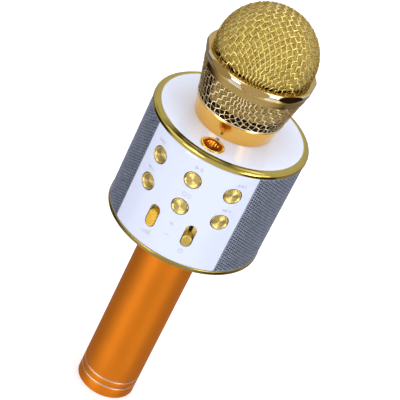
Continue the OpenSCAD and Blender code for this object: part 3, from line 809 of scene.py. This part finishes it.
def make_handle():
    """Tube with two cut grooves near its end and a bright edge below them."""
    half, floor, bore, outer = 0.55, HANDLE_R - 0.25, HANDLE_R - 1.6, HANDLE_R
    neck_r, edge_z, top = HANDLE_R - 0.2, 0.6, corner("handle_tube", True).z
    grooves = (7.2, 11.7)
    profile = [(bore, 0), (outer - edge_z, 0), (outer, edge_z)]
    flat = half * 0.72
    for z in grooves:
        profile += [(outer, z - half), (floor, z - flat), (floor, z + flat), (outer, z + half)]
    profile += [(outer, DRUM_LOW_Z), (neck_r, DRUM_LOW_Z), (neck_r, top), (bore, top)]

    def paint(centre):
        radius = hypot(centre.x, centre.y)
        cut = centre.z < edge_z or any(abs(centre.z - z) < half for z in grooves)
        return 1 if cut and radius > bore + 0.5 else 0
    shape = lathe(dense(rounded(profile, 0.12, 3), 14), 192)
    add_piece("handle_shell", shape, ("anodised", "cut"), "base",
              ("handle_tube",), paint)


# ------------------------------------------------------------------ speaker body


def make_trim_rings():
    low, edge, inner = DRUM_LOW_Z, DRUM_R, DRUM_R - 2.4
    profile = [
        (inner, low), (edge - 0.8, low), (edge - 0.25, low + 0.15), (edge, low + 0.5),
        (edge, low + 2.2), (edge - 0.2, low + 2.5), (inner, low + 2.5)]
    profile = dense(rounded(profile, 0.25), 0.3)
    add_piece("bottom_ring", lathe(profile, 256), ("satin",), "base",
              ("bottom_trim_ring",), crease=40)
    foot, high, inner = corner("top_trim_ring", False).z, DRUM_HIGH_Z, DRUM_R - 3.4
    profile = [
        (inner, foot), (edge - 0.2, foot), (edge, foot + 0.25), (edge, high - 1.6),
        (edge - 0.25, high - 1.0), (edge - 0.9, high - 0.5), (edge - 1.9, high - 0.08),
        (edge - 2.6, high - 0.04), (inner + 0.15, high - 0.25), (inner, high - 0.6)]
    profile = dense(rounded(profile, 0.4, 6), 0.2)
    add_piece("top_ring", lathe(profile, 256), ("trim",), "base",
              ("top_trim_ring",), crease=50)


def make_panels():
    """White panels: the front with the holes of its controls, the rear with its sockets."""
    def panel(word, middle, holes, bevel):
        half = degrees(asin(corner(f"{word}_panel", True).x / WALL_R))
        loops = [wall_outline(middle, half, WALL_LOW_Z, WALL_HIGH_Z)] + holes
        shape = plate(loops, wall_place, PANEL_WALL, bevel, (1.4, 2.6))
        add_piece(f"panel_{word}", shape, ("white",), "base", (f"{word}_panel",),
                  crease=35)

    def button_hole(grow):
        return stadium(2 * BUTTON_R + 0.7, 2 * BUTTON_R + 0.7, grow, 28)

    def slot(grow):
        return dense(stadium(SLOT_W, SLOT_L, grow), 1.5)
    holes = [wall_hole(button_hole, column * BUTTON_STEP, row)
             for column in (-1, 0, 1) for row in (ROW_LOW_Z, ROW_HIGH_Z)]
    holes += [wall_hole(slot, side * SLOT_ANGLE, SLOT_Z) for side in (-1, 1)]
    panel("front", 0, holes, 0.28)

    left_edge = 3.7

    def socket(width, length):
        """Outline of a charging or card socket, which share one straight edge."""
        return lambda grow: [
            (x + left_edge - width / 2, y)
            for x, y in dense(rounded_box(width, length, 0.5, grow), 1.5)]

    def audio(grow):
        return stadium(6.1, 6.1, grow)
    sockets = ((audio, 160), (socket(3.4, 8.4), 147), (socket(2.4, 13.2), 134))
    panel("rear", 180, [wall_hole(outline, 180, z) for outline, z in sockets], 0.25)


def perforated(side):
    """Speaker wall with columns of small round holes, neighbours half a step apart."""
    start, end = PANEL_HALF + 0.25, 180 - REAR_HALF - 0.25
    width, height = radians(end - start) * WALL_R, WALL_HIGH_Z - WALL_LOW_Z
    margin, thickness, hole_r, sides, step_x, step_z = 0.35, 0.45, 0.59, 12, 1.42, 1.67
    columns = round((width - 2 * margin) / step_x)
    rows = round((height - 2 * margin) / step_z)
    wide = (width - 2 * margin) / columns
    tall = (height - 2 * margin) / rows
    lean = atan2(tall, wide)
    corners = [0, lean, pi - lean, pi, pi + lean, TAU - lean, TAU]
    points, index, faces = [], {}, []

    def at(x, y):
        key = (round(x, 4), round(y, 4))
        if key not in index:
            index[key] = len(points)
            points.append((x, y))
        return index[key]

    def quad(x0, x1, y0, y1):
        faces.append((at(x0, y0), at(x1, y0), at(x1, y1), at(x0, y1)))

    for column in range(columns):
        x0 = margin + column * wide
        shift = 0.5 * (column % 2)
        for row in range(rows - column % 2):
            y0 = margin + (row + shift) * tall
            x1, y1 = x0 + wide, y0 + tall
            xm, ym = (x0 + x1) / 2, (y0 + y1) / 2
            rim = [at(x1, ym), at(x1, y1), at(x0, y1), at(x0, ym), at(x0, y0), at(x1, y0)]
            ring = []
            for a, b in zip(corners, corners[1:]):
                for angle in (a, (a + b) / 2):
                    ring.append(at(xm + hole_r * cos(angle), ym + hole_r * sin(angle)))
            for k in range(6):
                hole = [ring[(2 * k + i) % sides] for i in (2, 1, 0)]
                faces.append((rim[k], rim[(k + 1) % 6], *hole))
        if column % 2:
            for y0 in (margin, height - margin - tall / 2):
                quad(x0, x0 + wide, y0, y0 + tall / 2)
    ladder = [margin + i * tall / 2 for i in range(2 * rows + 1)]
    for x0, x1 in ((0, margin), (width - margin, width)):
        for y0, y1 in zip(ladder, ladder[1:]):
            quad(x0, x1, y0, y1)
    across = [0] + [margin + i * wide for i in range(columns + 1)] + [width]
    for y0, y1 in ((0, margin), (height - margin, height)):
        for x0, x1 in zip(across, across[1:]):
            quad(x0, x1, y0, y1)

    borders = {}
    for face in faces:
        for a, b in zip(face, face[1:] + face[:1]):
            if (b, a) in borders:
                del borders[(b, a)]
            else:
                borders[(a, b)] = True
    count = len(points)
    placed = [
        on_wall(side * (start + degrees(x / WALL_R)), WALL_LOW_Z + y, WALL_R - depth)
        for depth in (0.0, thickness) for x, y in points]
    back = [tuple(i + count for i in reversed(face)) for face in faces]
    walls = [(b, a, a + count, b + count) for a, b in borders]
    return placed, faces + back + walls


def make_speaker_walls():
    """Perforated walls, and behind each the black cloth that shows through its holes."""
    near, far, columns = WALL_R - 0.6, WALL_R - 0.9, 64
    low, high = WALL_LOW_Z + 0.3, WALL_HIGH_Z - 0.3
    for side, word in ((-1, "left"), (1, "right")):
        add_piece(f"grille_{word}", perforated(side), ("grille",), "base",
                  (f"speaker_mesh_{word}",))
        middle = side * (PANEL_HALF + 180 - REAR_HALF) / 2
        half = (180 - REAR_HALF - PANEL_HALF) / 2 - 0.6
        rows = [
            [on_wall(middle - half + 2 * half * k / columns, z, r) for k in range(columns + 1)]
            for r, z in ((near, low), (near, high), (far, high), (far, low), (near, low))]
        points, faces = strip(rows, closed=False)
        last = columns + 1
        faces.append(tuple(i * last for i in (3, 2, 1, 0)))
        faces.append(tuple(i * last + columns for i in (0, 1, 2, 3)))
        add_piece(f"cloth_{word}", (points, faces), ("cloth",), "base")


def make_top():
    """White plate with openings for the sleeve and for the small status light."""
    plate_r, light_y, lens_r, thickness = DRUM_R - 3.45, 22.7, 0.8, 2.0

    def flat(u, v, depth):
        return (u, v, DRUM_HIGH_Z - depth)

    def ring(radius, count, centre=(0, 0)):
        def loop(grow, depth):
            return [
                (centre[0] + (radius + grow) * cos(TAU * k / count),
                 centre[1] + (radius + grow) * sin(TAU * k / count)) for k in range(count)]
        return loop
    loops = [ring(plate_r, 160), ring(SLEEVE_R + 0.1, 96), ring(lens_r + 0.05, 24, (0, -light_y))]
    shape = plate(loops, flat, thickness, 0.2, (3, 3))
    # The top plate takes the paler copy of the white plastic, painted light for how the lamps fall
    # on it.
    add_piece("top_face", shape, ("painted_lit_white_top",), "base", ("top_plate",), crease=35)

    foot, rim, bulge = DRUM_HIGH_Z - thickness, DRUM_HIGH_Z - 0.1, 0.25
    profile = [(0, foot), (lens_r, foot), (lens_r, rim)]
    profile += [
        (lens_r * cos(a), rim + bulge * sin(a)) for a in (radians(d) for d in (20, 40, 60, 80))]
    points, faces = lathe(profile + [(0, rim + bulge)], 32)
    points = [(x, y - light_y, z) for x, y, z in points]
    add_piece("light_lens", (points, faces), ("lens",), "base", ("status_light",))
    make_badge()


def make_badge():
    """Round badge: raised rim, sunk floor, and a plain row of sound-level bars."""
    low = DRUM_HIGH_Z
    centre_y = (corner("badge", False).y + corner("badge", True).y) / 2
    radius = (corner("badge", True).x - corner("badge", False).x) / 2
    profile = [
        (0, low), (radius, low), (radius, low + 0.25), (radius - 0.4, low + 0.7),
        (radius - 0.9, low + 0.7), (radius - 1.5, low + 0.15), (radius - 1.8, low + 0.15),
        (radius - 2.6, low + 0.42), (radius - 4.2, low + 0.55), (0, low + 0.6)]
    shapes = [lathe(dense(rounded(profile, 0.25, 4), 0.3), 96)]
    for k, length in ((-2, 1.8), (-1, 3.4), (0, 5.2), (1, 3.4), (2, 1.8)):
        outline = stadium(0.8, length, 0, 8)
        rings = [
            [(x * s + k * 1.35, y * (1 - (1 - s) * 0.3), low + h) for x, y in outline]
            for s, h in ((1.0, 0.3), (1.0, 0.7), (0.8, 0.88), (0.4, 0.94))]
        shapes.append(strip(rings, caps=2))
    points, faces = join(*shapes)
    points = [(x, y + centre_y, z) for x, y, z in points]

    def paint(centre):
        away = hypot(centre.x, centre.y - centre_y)
        return 1 if away < radius - 1.3 and centre.z < low + 0.66 else 0
    add_piece("badge_relief", (points, faces), ("badge", "badge_floor"), "base",
              ("badge",), paint, 40)


# ------------------------------------------------------------------ controls


def make_buttons():
    """Six caps, each a raised rim round a sunk spun disc, on a flange and a stem."""
    names = {
        (-1, ROW_HIGH_Z): "previous", (0, ROW_HIGH_Z): "play", (1, ROW_HIGH_Z): "next",
        (-1, ROW_LOW_Z): "volume_down", (0, ROW_LOW_Z): "mode", (1, ROW_LOW_Z): "volume_up"}
    face, floor = BUTTON_FACE, BUTTON_FACE - 0.5
    stem_r, flange_r, cap_r, rim_r, disc_r = 1.8, 5.1, BUTTON_R - 0.06, BUTTON_R - 0.36, 3.15
    stem_low, flange_low, flange_high = 33.95, 36.2, 37.5
    profile = [
        (0, stem_low), (stem_r, stem_low), (stem_r, flange_low), (flange_r, flange_low),
        (flange_r, flange_high), (cap_r, flange_high), (cap_r, floor),
        (cap_r - 0.04, face - 0.12), (cap_r - 0.15, face), (rim_r, face)]
    profile += [
        (disc_r + (rim_r - disc_r) * (1 - k / 6), face - 0.5 * sin(pi / 2 * k / 6))
        for k in range(1, 7)]
    profile += [(disc_r * (1 - k / 8), floor + 0.12 * k / 8) for k in range(1, 9)]
    shape = lathe(rounded(profile, 0.1, 2), 96)

    def paint(centre):
        return 1 if hypot(centre.x, centre.y) > disc_r - 0.02 else 0
    for (column, row), name in names.items():
        add_piece(f"{name}_cap", shape, ("button", "button_rim"), f"{name}_button",
                  (f"{name}_button",), paint, 35, outward(column * BUTTON_STEP, row))


def knob(outline, low, height, step):
    """Knob that stands on low inside an outline, its top a height field."""
    places, triangles = fill([outline], step)
    top = [(x, y, height(x, y)) for x, y in places]
    rings = [[(x, y, low) for x, y in outline], [(x, y, height(x, y)) for x, y in outline]]
    return join((top, triangles), strip(rings, caps=1))


def stem(low, high):
    """Square post under a knob."""
    half_w, half_l = 0.65, 1.3
    base = [(-half_w, -half_l), (half_w, -half_l), (half_w, half_l), (-half_w, half_l)]
    return strip([[(x, y, z) for x, y in base] for z in (low, high)], caps=2)


def make_sliders():
    gap, floor, foot, face = 0.3, 36.3, 32.6, WALL_R + 0.2
    width = SLOT_W - 2 * gap
    length, ribbed_half = 9.6, 4.2
    outline = dense(stadium(width, length, 0, 24), 0.35)

    def edge_drop(x, y, length, soft):
        """How far the top falls as it nears the outline."""
        reach = max(0.0, abs(y) - (length - width) / 2)
        inset = width / 2 - hypot(x, reach)
        fall = soft - sqrt(max(0.0, soft ** 2 - (soft - inset) ** 2))
        return 0.0 if inset > soft else fall

    def ribs(x, y):
        wave = 0.5 + 0.5 * cos(TAU * y / 1.4)
        groove = 0.55 * (1 - wave) ** 1.5 if abs(y) < ribbed_half else 0.0
        return face - edge_drop(x, y, length, 0.5) - groove
    rest = SLOT_Z - SLOT_L / 2 + gap + length / 2
    shape = join(knob(outline, floor, ribs, (0.6, 0.14)), stem(foot, floor))
    add_piece("level_knob", shape, ("slider",), "level_slider", ("level_slider",),
              crease=45, place=outward(-SLOT_ANGLE, rest))

    short = 6.4
    outline = dense(stadium(width, short, 0, 24), 0.35)

    def pillow(x, y):
        round_off = 0.12 * (y / short * 2) ** 2 + 0.1 * (x / width * 2) ** 2
        return face - edge_drop(x, y, short, 0.6) - round_off
    rest = SLOT_Z - SLOT_L / 2 + gap + short / 2
    shape = join(knob(outline, floor, pillow, (0.3, 0.3)), stem(foot, floor))
    add_piece("power_knob", shape, ("knob",), "power_switch", ("power_switch",),
              crease=45, place=outward(SLOT_ANGLE, rest))


def bar(width, height, x=0.0, y=0.0):
    return [(x - width / 2, y - height / 2), (x + width / 2, y - height / 2),
            (x + width / 2, y + height / 2), (x - width / 2, y + height / 2)]


def arrow(size, x, way):
    base, tip, half = x - way * size / 2, x + way * size / 2, size * 0.55
    return [(base, -half), (tip, 0), (base, half)]


def arc_band(radius, width, start, end, x=0.0, y=0.0, count=10):
    """Quads along part of a ring."""
    made = []
    for k in range(count):
        a, b = (radians(start + (end - start) * i / count) for i in (k, k + 1))
        made.append([
            (x + r * cos(t), y + r * sin(t))
            for r, t in ((radius - width / 2, a), (radius + width / 2, a),
                         (radius + width / 2, b), (radius - width / 2, b))])
    return made


def make_marks():
    """Plain printed signs beside the controls."""
    line, scale = 0.3, 1.35

    def skip(way):
        return [bar(line, 1.5, 1.6 * way), arrow(1.3, 0.7 * way, way), arrow(1.3, -0.7 * way, way)]
    softer = [bar(0.7, 0.8, -1.5), arrow(1.4, -0.9, -1), bar(1.3, line, 1.0)]
    louder = softer + [bar(line, 1.3, 1.0)]
    play = [arrow(1.5, -0.8, 1), bar(line, 1.5, 0.7), bar(line, 1.5, 1.35)]
    mode = arc_band(0.75, line, 0, 360, -1.0) + [bar(1.5, line, 1.0, y) for y in (0.5, -0.5)]
    steps = [bar(0.4, 0.5 + 0.35 * k, -1.8 + 0.72 * k, -0.5 + 0.175 * k) for k in range(6)]
    power = arc_band(0.85, line, -235, 55) + [bar(line, 1.0, 0, 0.75)]
    signs = (
        (-32.0, 170.2, skip(-1)), (1.0, 170.6, play), (32.0, 170.2, skip(1)),
        (-31.1, 154.2, softer), (1.0, 154.6, mode), (31.0, 154.4, louder),
        (-14.3, 123.9, steps), (13.9, 124.3, power),
        (0.4, 136.2, [bar(1.7, line), bar(line, 1.7)]), (0.6, 129.4, [bar(1.7, line)]))
    shapes = []
    for angle, z, outlines in signs:
        for outline in outlines:
            ring = dense([(x * scale, y * scale) for x, y in outline], 0.6)
            rings = [
                [on_wall(angle + degrees(x / WALL_R), z + y, WALL_R + h) for x, y in ring]
                for h in (-0.1, 0.035)]
            shapes.append(strip(rings, caps=2))
    add_piece("panel_marks", join(*shapes), ("mark",), "base")


# ------------------------------------------------------------------ neck


def make_neck():
    """Collar that flares upwards, and the threaded sleeve inside it."""
    low, high, foot_r, top_r = DRUM_HIGH_Z, NECK_HIGH_Z, 20.2, 22.5
    profile = [
        (SLEEVE_R + 0.1, low), (foot_r, low), (foot_r + 0.2, low + 0.3), (top_r, high - 1.2),
        (top_r + 0.1, high - 0.6), (top_r, high), (SLEEVE_R + 0.1, high)]
    add_piece("neck_ring", lathe(rounded(dense(profile, 3), 0.3, 3), 192), ("neck",), "base",
              ("neck_collar",), crease=40)

    bore, flange_r, flange_high = SLEEVE_R - 1.8, SLEEVE_R + 2.4, low - 2.1
    foot, top = corner("neck_sleeve", False).z, corner("neck_sleeve", True).z
    profile = [
        (bore, foot), (flange_r, foot), (flange_r, flange_high), (SLEEVE_R, flange_high),
        (SLEEVE_R, top - 0.4), (SLEEVE_R - 0.4, top), (bore, top)]
    sleeve = lathe(rounded(profile, 0.15, 2), 128)
    turns, pitch, start, run_out = 2.2, 1.1, high + 0.25, 20
    count = int(96 * turns)
    path, normals = [], []
    for k in range(count + 1):
        angle = TAU * turns * k / count
        fade = min(1.0, k / run_out, (count - k) / run_out)
        out = Vector((cos(angle), sin(angle), 0))
        rise = Vector((0, 0, start + pitch * turns * k / count * 0.95))
        path.append(out * (SLEEVE_R - 0.2 + 0.22 * fade) + rise)
        normals.append(out)
    add_piece("sleeve_thread", join(sleeve, tube(path, normals, 0.3)), ("steel",), "base",
              ("neck_sleeve",), crease=40)


# ------------------------------------------------------------------ head


def make_head_rings():
    bore, outer, seat_z = SLEEVE_R + 0.4, CONE_LOW_R, MESH_LOW_Z - 0.1
    low, top = corner("grille_base_ring", False).z, corner("grille_base_ring", True).z
    profile = [
        (bore, low), (outer - 0.1, low), (outer + 0.1, low + 0.3), (outer, seat_z),
        (outer - 1.3, seat_z), (outer - 1.3, top), (bore, top)]

    # Faces inside the head, above the mesh seat, are painted dark brown as painted shade.
    def painted_shade_inside(centre):
        return 1 if centre.z > seat_z + 0.02 else 0
    add_piece("head_base_ring", lathe(rounded(profile, 0.15, 3), 192), ("lip", "gap"), "head",
              ("grille_base_ring",), painted_shade_inside, crease=40)

    flat_r, full_r, flats, first_flat = 27.6, 28.6, 9, radians(12.5 - 90)
    inner, low, high = DOME_R - 0.4, BAND_LOW_Z, BAND_HIGH_Z
    profile = [
        (inner, low), (CONE_HIGH_R + 0.1, low), (CONE_HIGH_R + 0.3, low + 1.6),
        (full_r - 1.4, low + 3.6), (full_r - 0.75, low + 5.1), (full_r - 0.15, low + 6.3),
        (full_r, low + 7.0), (full_r - 0.15, low + 7.7), (full_r - 0.6, high - 0.2),
        (full_r - 1.3, high), (inner, high)]
    sector = TAU / flats

    def from_middle(angle):
        """Angle from the middle of the nearest flat."""
        return (angle - first_flat + sector / 2) % sector - sector / 2

    def cut(r, angle, z):
        """Keeps the band inside the flats."""
        return min(r, flat_r / cos(from_middle(angle))), z

    def painted_corner_highlight(centre):
        """The corners between the flats are painted paler than the rest, a painted highlight."""
        turn = from_middle(atan2(centre.y, centre.x))
        on_flat = hypot(centre.x, centre.y) * cos(turn) > flat_r - 0.04
        at_corner = abs(turn) > sector * 0.3 and low + 4.4 < centre.z < high - 0.15
        return 1 if at_corner and not on_flat else 0
    shape = lathe(dense(rounded(profile, 0.35, 4), 0.3), 720, cut)
    add_piece("head_band", shape, ("band", "band_corner_highlight"), "head", ("grille_band",),
              painted_corner_highlight, crease=16)


def dome_normal(point):
    return Vector((
        point.x / DOME_R ** 2, point.y / DOME_R ** 2, (point.z - DOME_Z) / DOME_HALF_H ** 2,
    )).normalized()


def net_point(a, b, guess, step, radius, half_h):
    """Point on the dome at the same distance from two neighbours, by Newton's method."""
    q = guess.copy()
    for _ in range(25):
        off = Vector((
            (q - a).length_squared - step ** 2,
            (q - b).length_squared - step ** 2,
            (q.x ** 2 + q.y ** 2) / radius ** 2 + ((q.z - DOME_Z) / half_h) ** 2 - 1))
        slopes = Matrix((
            2 * (q - a), 2 * (q - b),
            (2 * q.x / radius ** 2, 2 * q.y / radius ** 2, 2 * (q.z - DOME_Z) / half_h ** 2)))
        if abs(slopes.determinant()) < 1e-9:
            return None
        move = slopes.inverted() @ off
        q = q - move
        if move.length < 1e-4:
            return q
    return None


def dome_net(step, turn, depth, low):
    """Woven cloth laid over the dome: four quarters of equal-sided cells from the crown."""
    radius, half_h = DOME_R - depth, DOME_HALF_H - depth

    def spine(angle):
        points = [Vector((0, 0, DOME_Z + half_h))]
        t = pi / 2
        while points[-1].z > low - 2 * step:
            near, far = t, t - 2 * step / radius
            for _ in range(40):
                middle = (near + far) / 2
                q = Vector((radius * cos(middle) * cos(angle),
                            radius * cos(middle) * sin(angle),
                            DOME_Z + half_h * sin(middle)))
                if (q - points[-1]).length > step:
                    far = middle
                else:
                    near = middle
            t = near
            points.append(q)
        return points
    quarters = []
    for k in range(4):
        angle = turn + k * pi / 2
        first, second = spine(angle), spine(angle + pi / 2)
        grid = {(i, 0): p for i, p in enumerate(first)}
        grid.update({(0, j): p for j, p in enumerate(second)})
        for i in range(1, len(first)):
            for j in range(1, len(first)):
                a, b, c = grid.get((i, j - 1)), grid.get((i - 1, j)), grid.get((i - 1, j - 1))
                if a is None or b is None or c is None:
                    continue
                q = net_point(a, b, a + b - c, step, radius, half_h)
                if q is not None and (q - c).length > 0.3 * step and q.z > low - 2 * step:
                    grid[(i, j)] = q
        quarters.append(grid)
    return quarters


def woven_wire(run, low, radius, amplitude, samples=4):
    """Wire through a run of net points, over and under by turns, cut off below low."""
    path, normals = [], []
    nodes = [point for point, _ in run]
    for k in range(len(nodes) - 1):
        before = nodes[max(k - 1, 0)]
        here, after = nodes[k], nodes[k + 1]
        beyond = nodes[min(k + 2, len(nodes) - 1)]
        for s in range(samples):
            t = s / samples
            point = 0.5 * (
                2 * here + (after - before) * t
                + (2 * before - 5 * here + 4 * after - beyond) * t ** 2
                + (3 * here - before - 3 * after + beyond) * t ** 3)
            if point.z < low:
                continue
            up = dome_normal(point)
            lift = amplitude * run[k][1] * cos(pi * t)
            path.append(point + up * lift)
            normals.append(up)
    return [tube(path, normals, radius)] if len(path) > 2 else []


def cells(grid, cell):
    """Points of the net from cell(0) on until it ends, each with 1 for over or -1 for under."""
    made = []
    while cell(len(made)) in grid:
        i, j = cell(len(made))
        made.append((grid[(i, j)], 1 - 2 * ((i + j) % 2)))
    return made


def make_dome():
    step, wire_r, amplitude, low = 2.85, 0.26, 0.33, BAND_HIGH_Z - 0.9
    longest = 50
    quarters = dome_net(step, radians(55), 0.55, low)
    families = ([], [])
    for k in range(4):
        for c in range(1, longest):
            families[k % 2].append(
                cells(quarters[k], lambda n: (n, c))[::-1]
                + cells(quarters[(k + 1) % 4], lambda n: (c, n + 1)))
    for k in (0, 1):
        families[k].append(
            cells(quarters[k + 2], lambda n: (n + 1, 0))[::-1]
            + cells(quarters[k], lambda n: (n, 0)))
    for sign, word, family in ((1, "warp", families[0]), (-1, "weft", families[1])):
        shapes = []
        for run in family:
            shapes += woven_wire(run, low, wire_r, sign * amplitude)
        add_piece(f"dome_{word}", join(*shapes), ("wire",), "head",
                  ("grille_dome_mesh",), crease=60)


def make_cone():
    """Lower mesh: a square weave pressed into a cup. It stands upright at four places round
    the cone and slants between them."""
    step, wire_r, amplitude, spine = 2.9, 0.26, 0.32, radians(-38)
    low, high = MESH_LOW_Z - 0.7, BAND_LOW_Z + 0.5
    start = CONE_LOW_R - 0.6 + CONE_SLOPE * (low - MESH_LOW_Z)
    reach = (high - low) * hypot(1, CONE_SLOPE)

    def pressed(x, y):
        """Where a point of the flat sheet comes to lie, and the surface normal there."""
        away = hypot(x, y)
        up = (away - start) / reach
        if not 0 <= up <= 1:
            return None
        radius = start + CONE_SLOPE * (high - low) * up
        turn = atan2(y, x)
        angle = spine - pi / 2 + turn + (away / radius - 1) * sin(4 * turn) / 4
        out = Vector((cos(angle), sin(angle), 0))
        place = out * radius + Vector((0, 0, low + (high - low) * up))
        return place, (out - Vector((0, 0, CONE_SLOPE))).normalized()
    wires = ceil((start + reach) / step)
    samples = 6
    for way, word in ((1, "warp"), (-1, "weft")):
        shapes = []
        for i in range(-wires, wires):
            across = (i + 0.5) * step
            path, normals = [], []
            for k in range(-wires * samples, wires * samples + 1):
                along = k * step / samples
                made = pressed(across, along) if way == 1 else pressed(along, across)
                if made:
                    lift = way * amplitude * (-1) ** i * sin(pi * k / samples)
                    path.append(made[0] + made[1] * lift)
                    normals.append(made[1])
                if path and (not made or k == wires * samples):
                    if len(path) > 2:
                        shapes.append(tube(path, normals, wire_r))
                    path, normals = [], []
        # The cone's wires take the paler copy of the wire gold, a painted reflection.
        add_piece(f"cone_{word}", join(*shapes), ("painted_lit_wire",), "head",
                  ("grille_lower_mesh",), crease=60)


def make_foam():
    """Foam liner with a pitted, slightly uneven skin. It is narrow behind the band, and beside
    one stretch of the lower mesh it is missing down to its pocket. There it is painted dark
    brown as painted shade, and below the band it is a darker copy, painted shade as well."""
    skin, pocket, low = 1.6, 14.5, NECK_HIGH_Z + 4.2
    start, arc_steps = radians(-12), 24
    profile = [
        (pocket, low), (CONE_LOW_R + CONE_SLOPE * (low - MESH_LOW_Z) - skin, low),
        (CONE_HIGH_R - skin - 0.6, BAND_LOW_Z)]
    for k in range(arc_steps + 1):
        angle = start + (pi / 2 - start) * k / arc_steps
        profile.append((
            (DOME_R - skin) * cos(angle), DOME_Z + (DOME_HALF_H - skin) * sin(angle)))
    profile[-1] = (0, profile[-1][1])
    roof = corner("foam_liner", False).z + 28.5 + 4
    profile += [(0, roof), (pocket - 4, roof), (pocket, roof - 4)]

    hollow_start, hollow_end = radians(-90 - 84), radians(-90 - 36)
    hollow_high, hollow_r = BAND_LOW_Z + 1.5, pocket + 0.6
    waist_low, waist_high, waist_r = BAND_LOW_Z + 2, BAND_HIGH_Z + 0.2, 21.8

    def pitted(r, angle, z):
        place = Vector((r * cos(angle), r * sin(angle), z))
        pits = noise.noise(place * 0.9) * 0.16 + noise.noise(place * 2.1) * 0.1
        turn = (angle + pi) % TAU - pi
        if hollow_start < turn < hollow_end and z < hollow_high:
            r = min(r, hollow_r)
        if waist_low < z < waist_high:
            r = min(r, waist_r)
        return r - 0.12 + pits, z

    # Index 1 is painted shade on the hollow and the narrow waist; index 2 is the darker foam copy,
    # painted shade below the band.
    def paint(centre):
        radius = hypot(centre.x, centre.y)
        in_hollow = centre.z < hollow_high and radius < CONE_LOW_R - skin - 1.5
        if in_hollow or (centre.z < waist_high and radius < waist_r + 0.3):
            return 1
        return 2 if centre.z < waist_low else 0
    shape = lathe(dense(rounded(profile, 1.0, 4), 0.8), 260, pitted)
    piece = add_piece("foam_core", shape, ("foam", "gap", "shaded_foam"), "head",
                      ("foam_liner",), paint, crease=80)


# ------------------------------------------------------------------ assembly


def finish_cad_nodes():
    """Gives every CAD node that stays the finish of its record slot."""
    for part in frame["record"]["subparts"]:
        for place in frame["nodes"][part["node"]].material_slots:
            place.material = MATERIALS[SLOT_FINISH[part["material_slot"]]]


finish_cad_nodes()
make_handle()
make_trim_rings()
make_panels()
make_speaker_walls()
make_top()
make_buttons()
make_sliders()
make_marks()
make_neck()
make_head_rings()
make_dome()
make_cone()
make_foam()

bpy.context.view_layer.update()
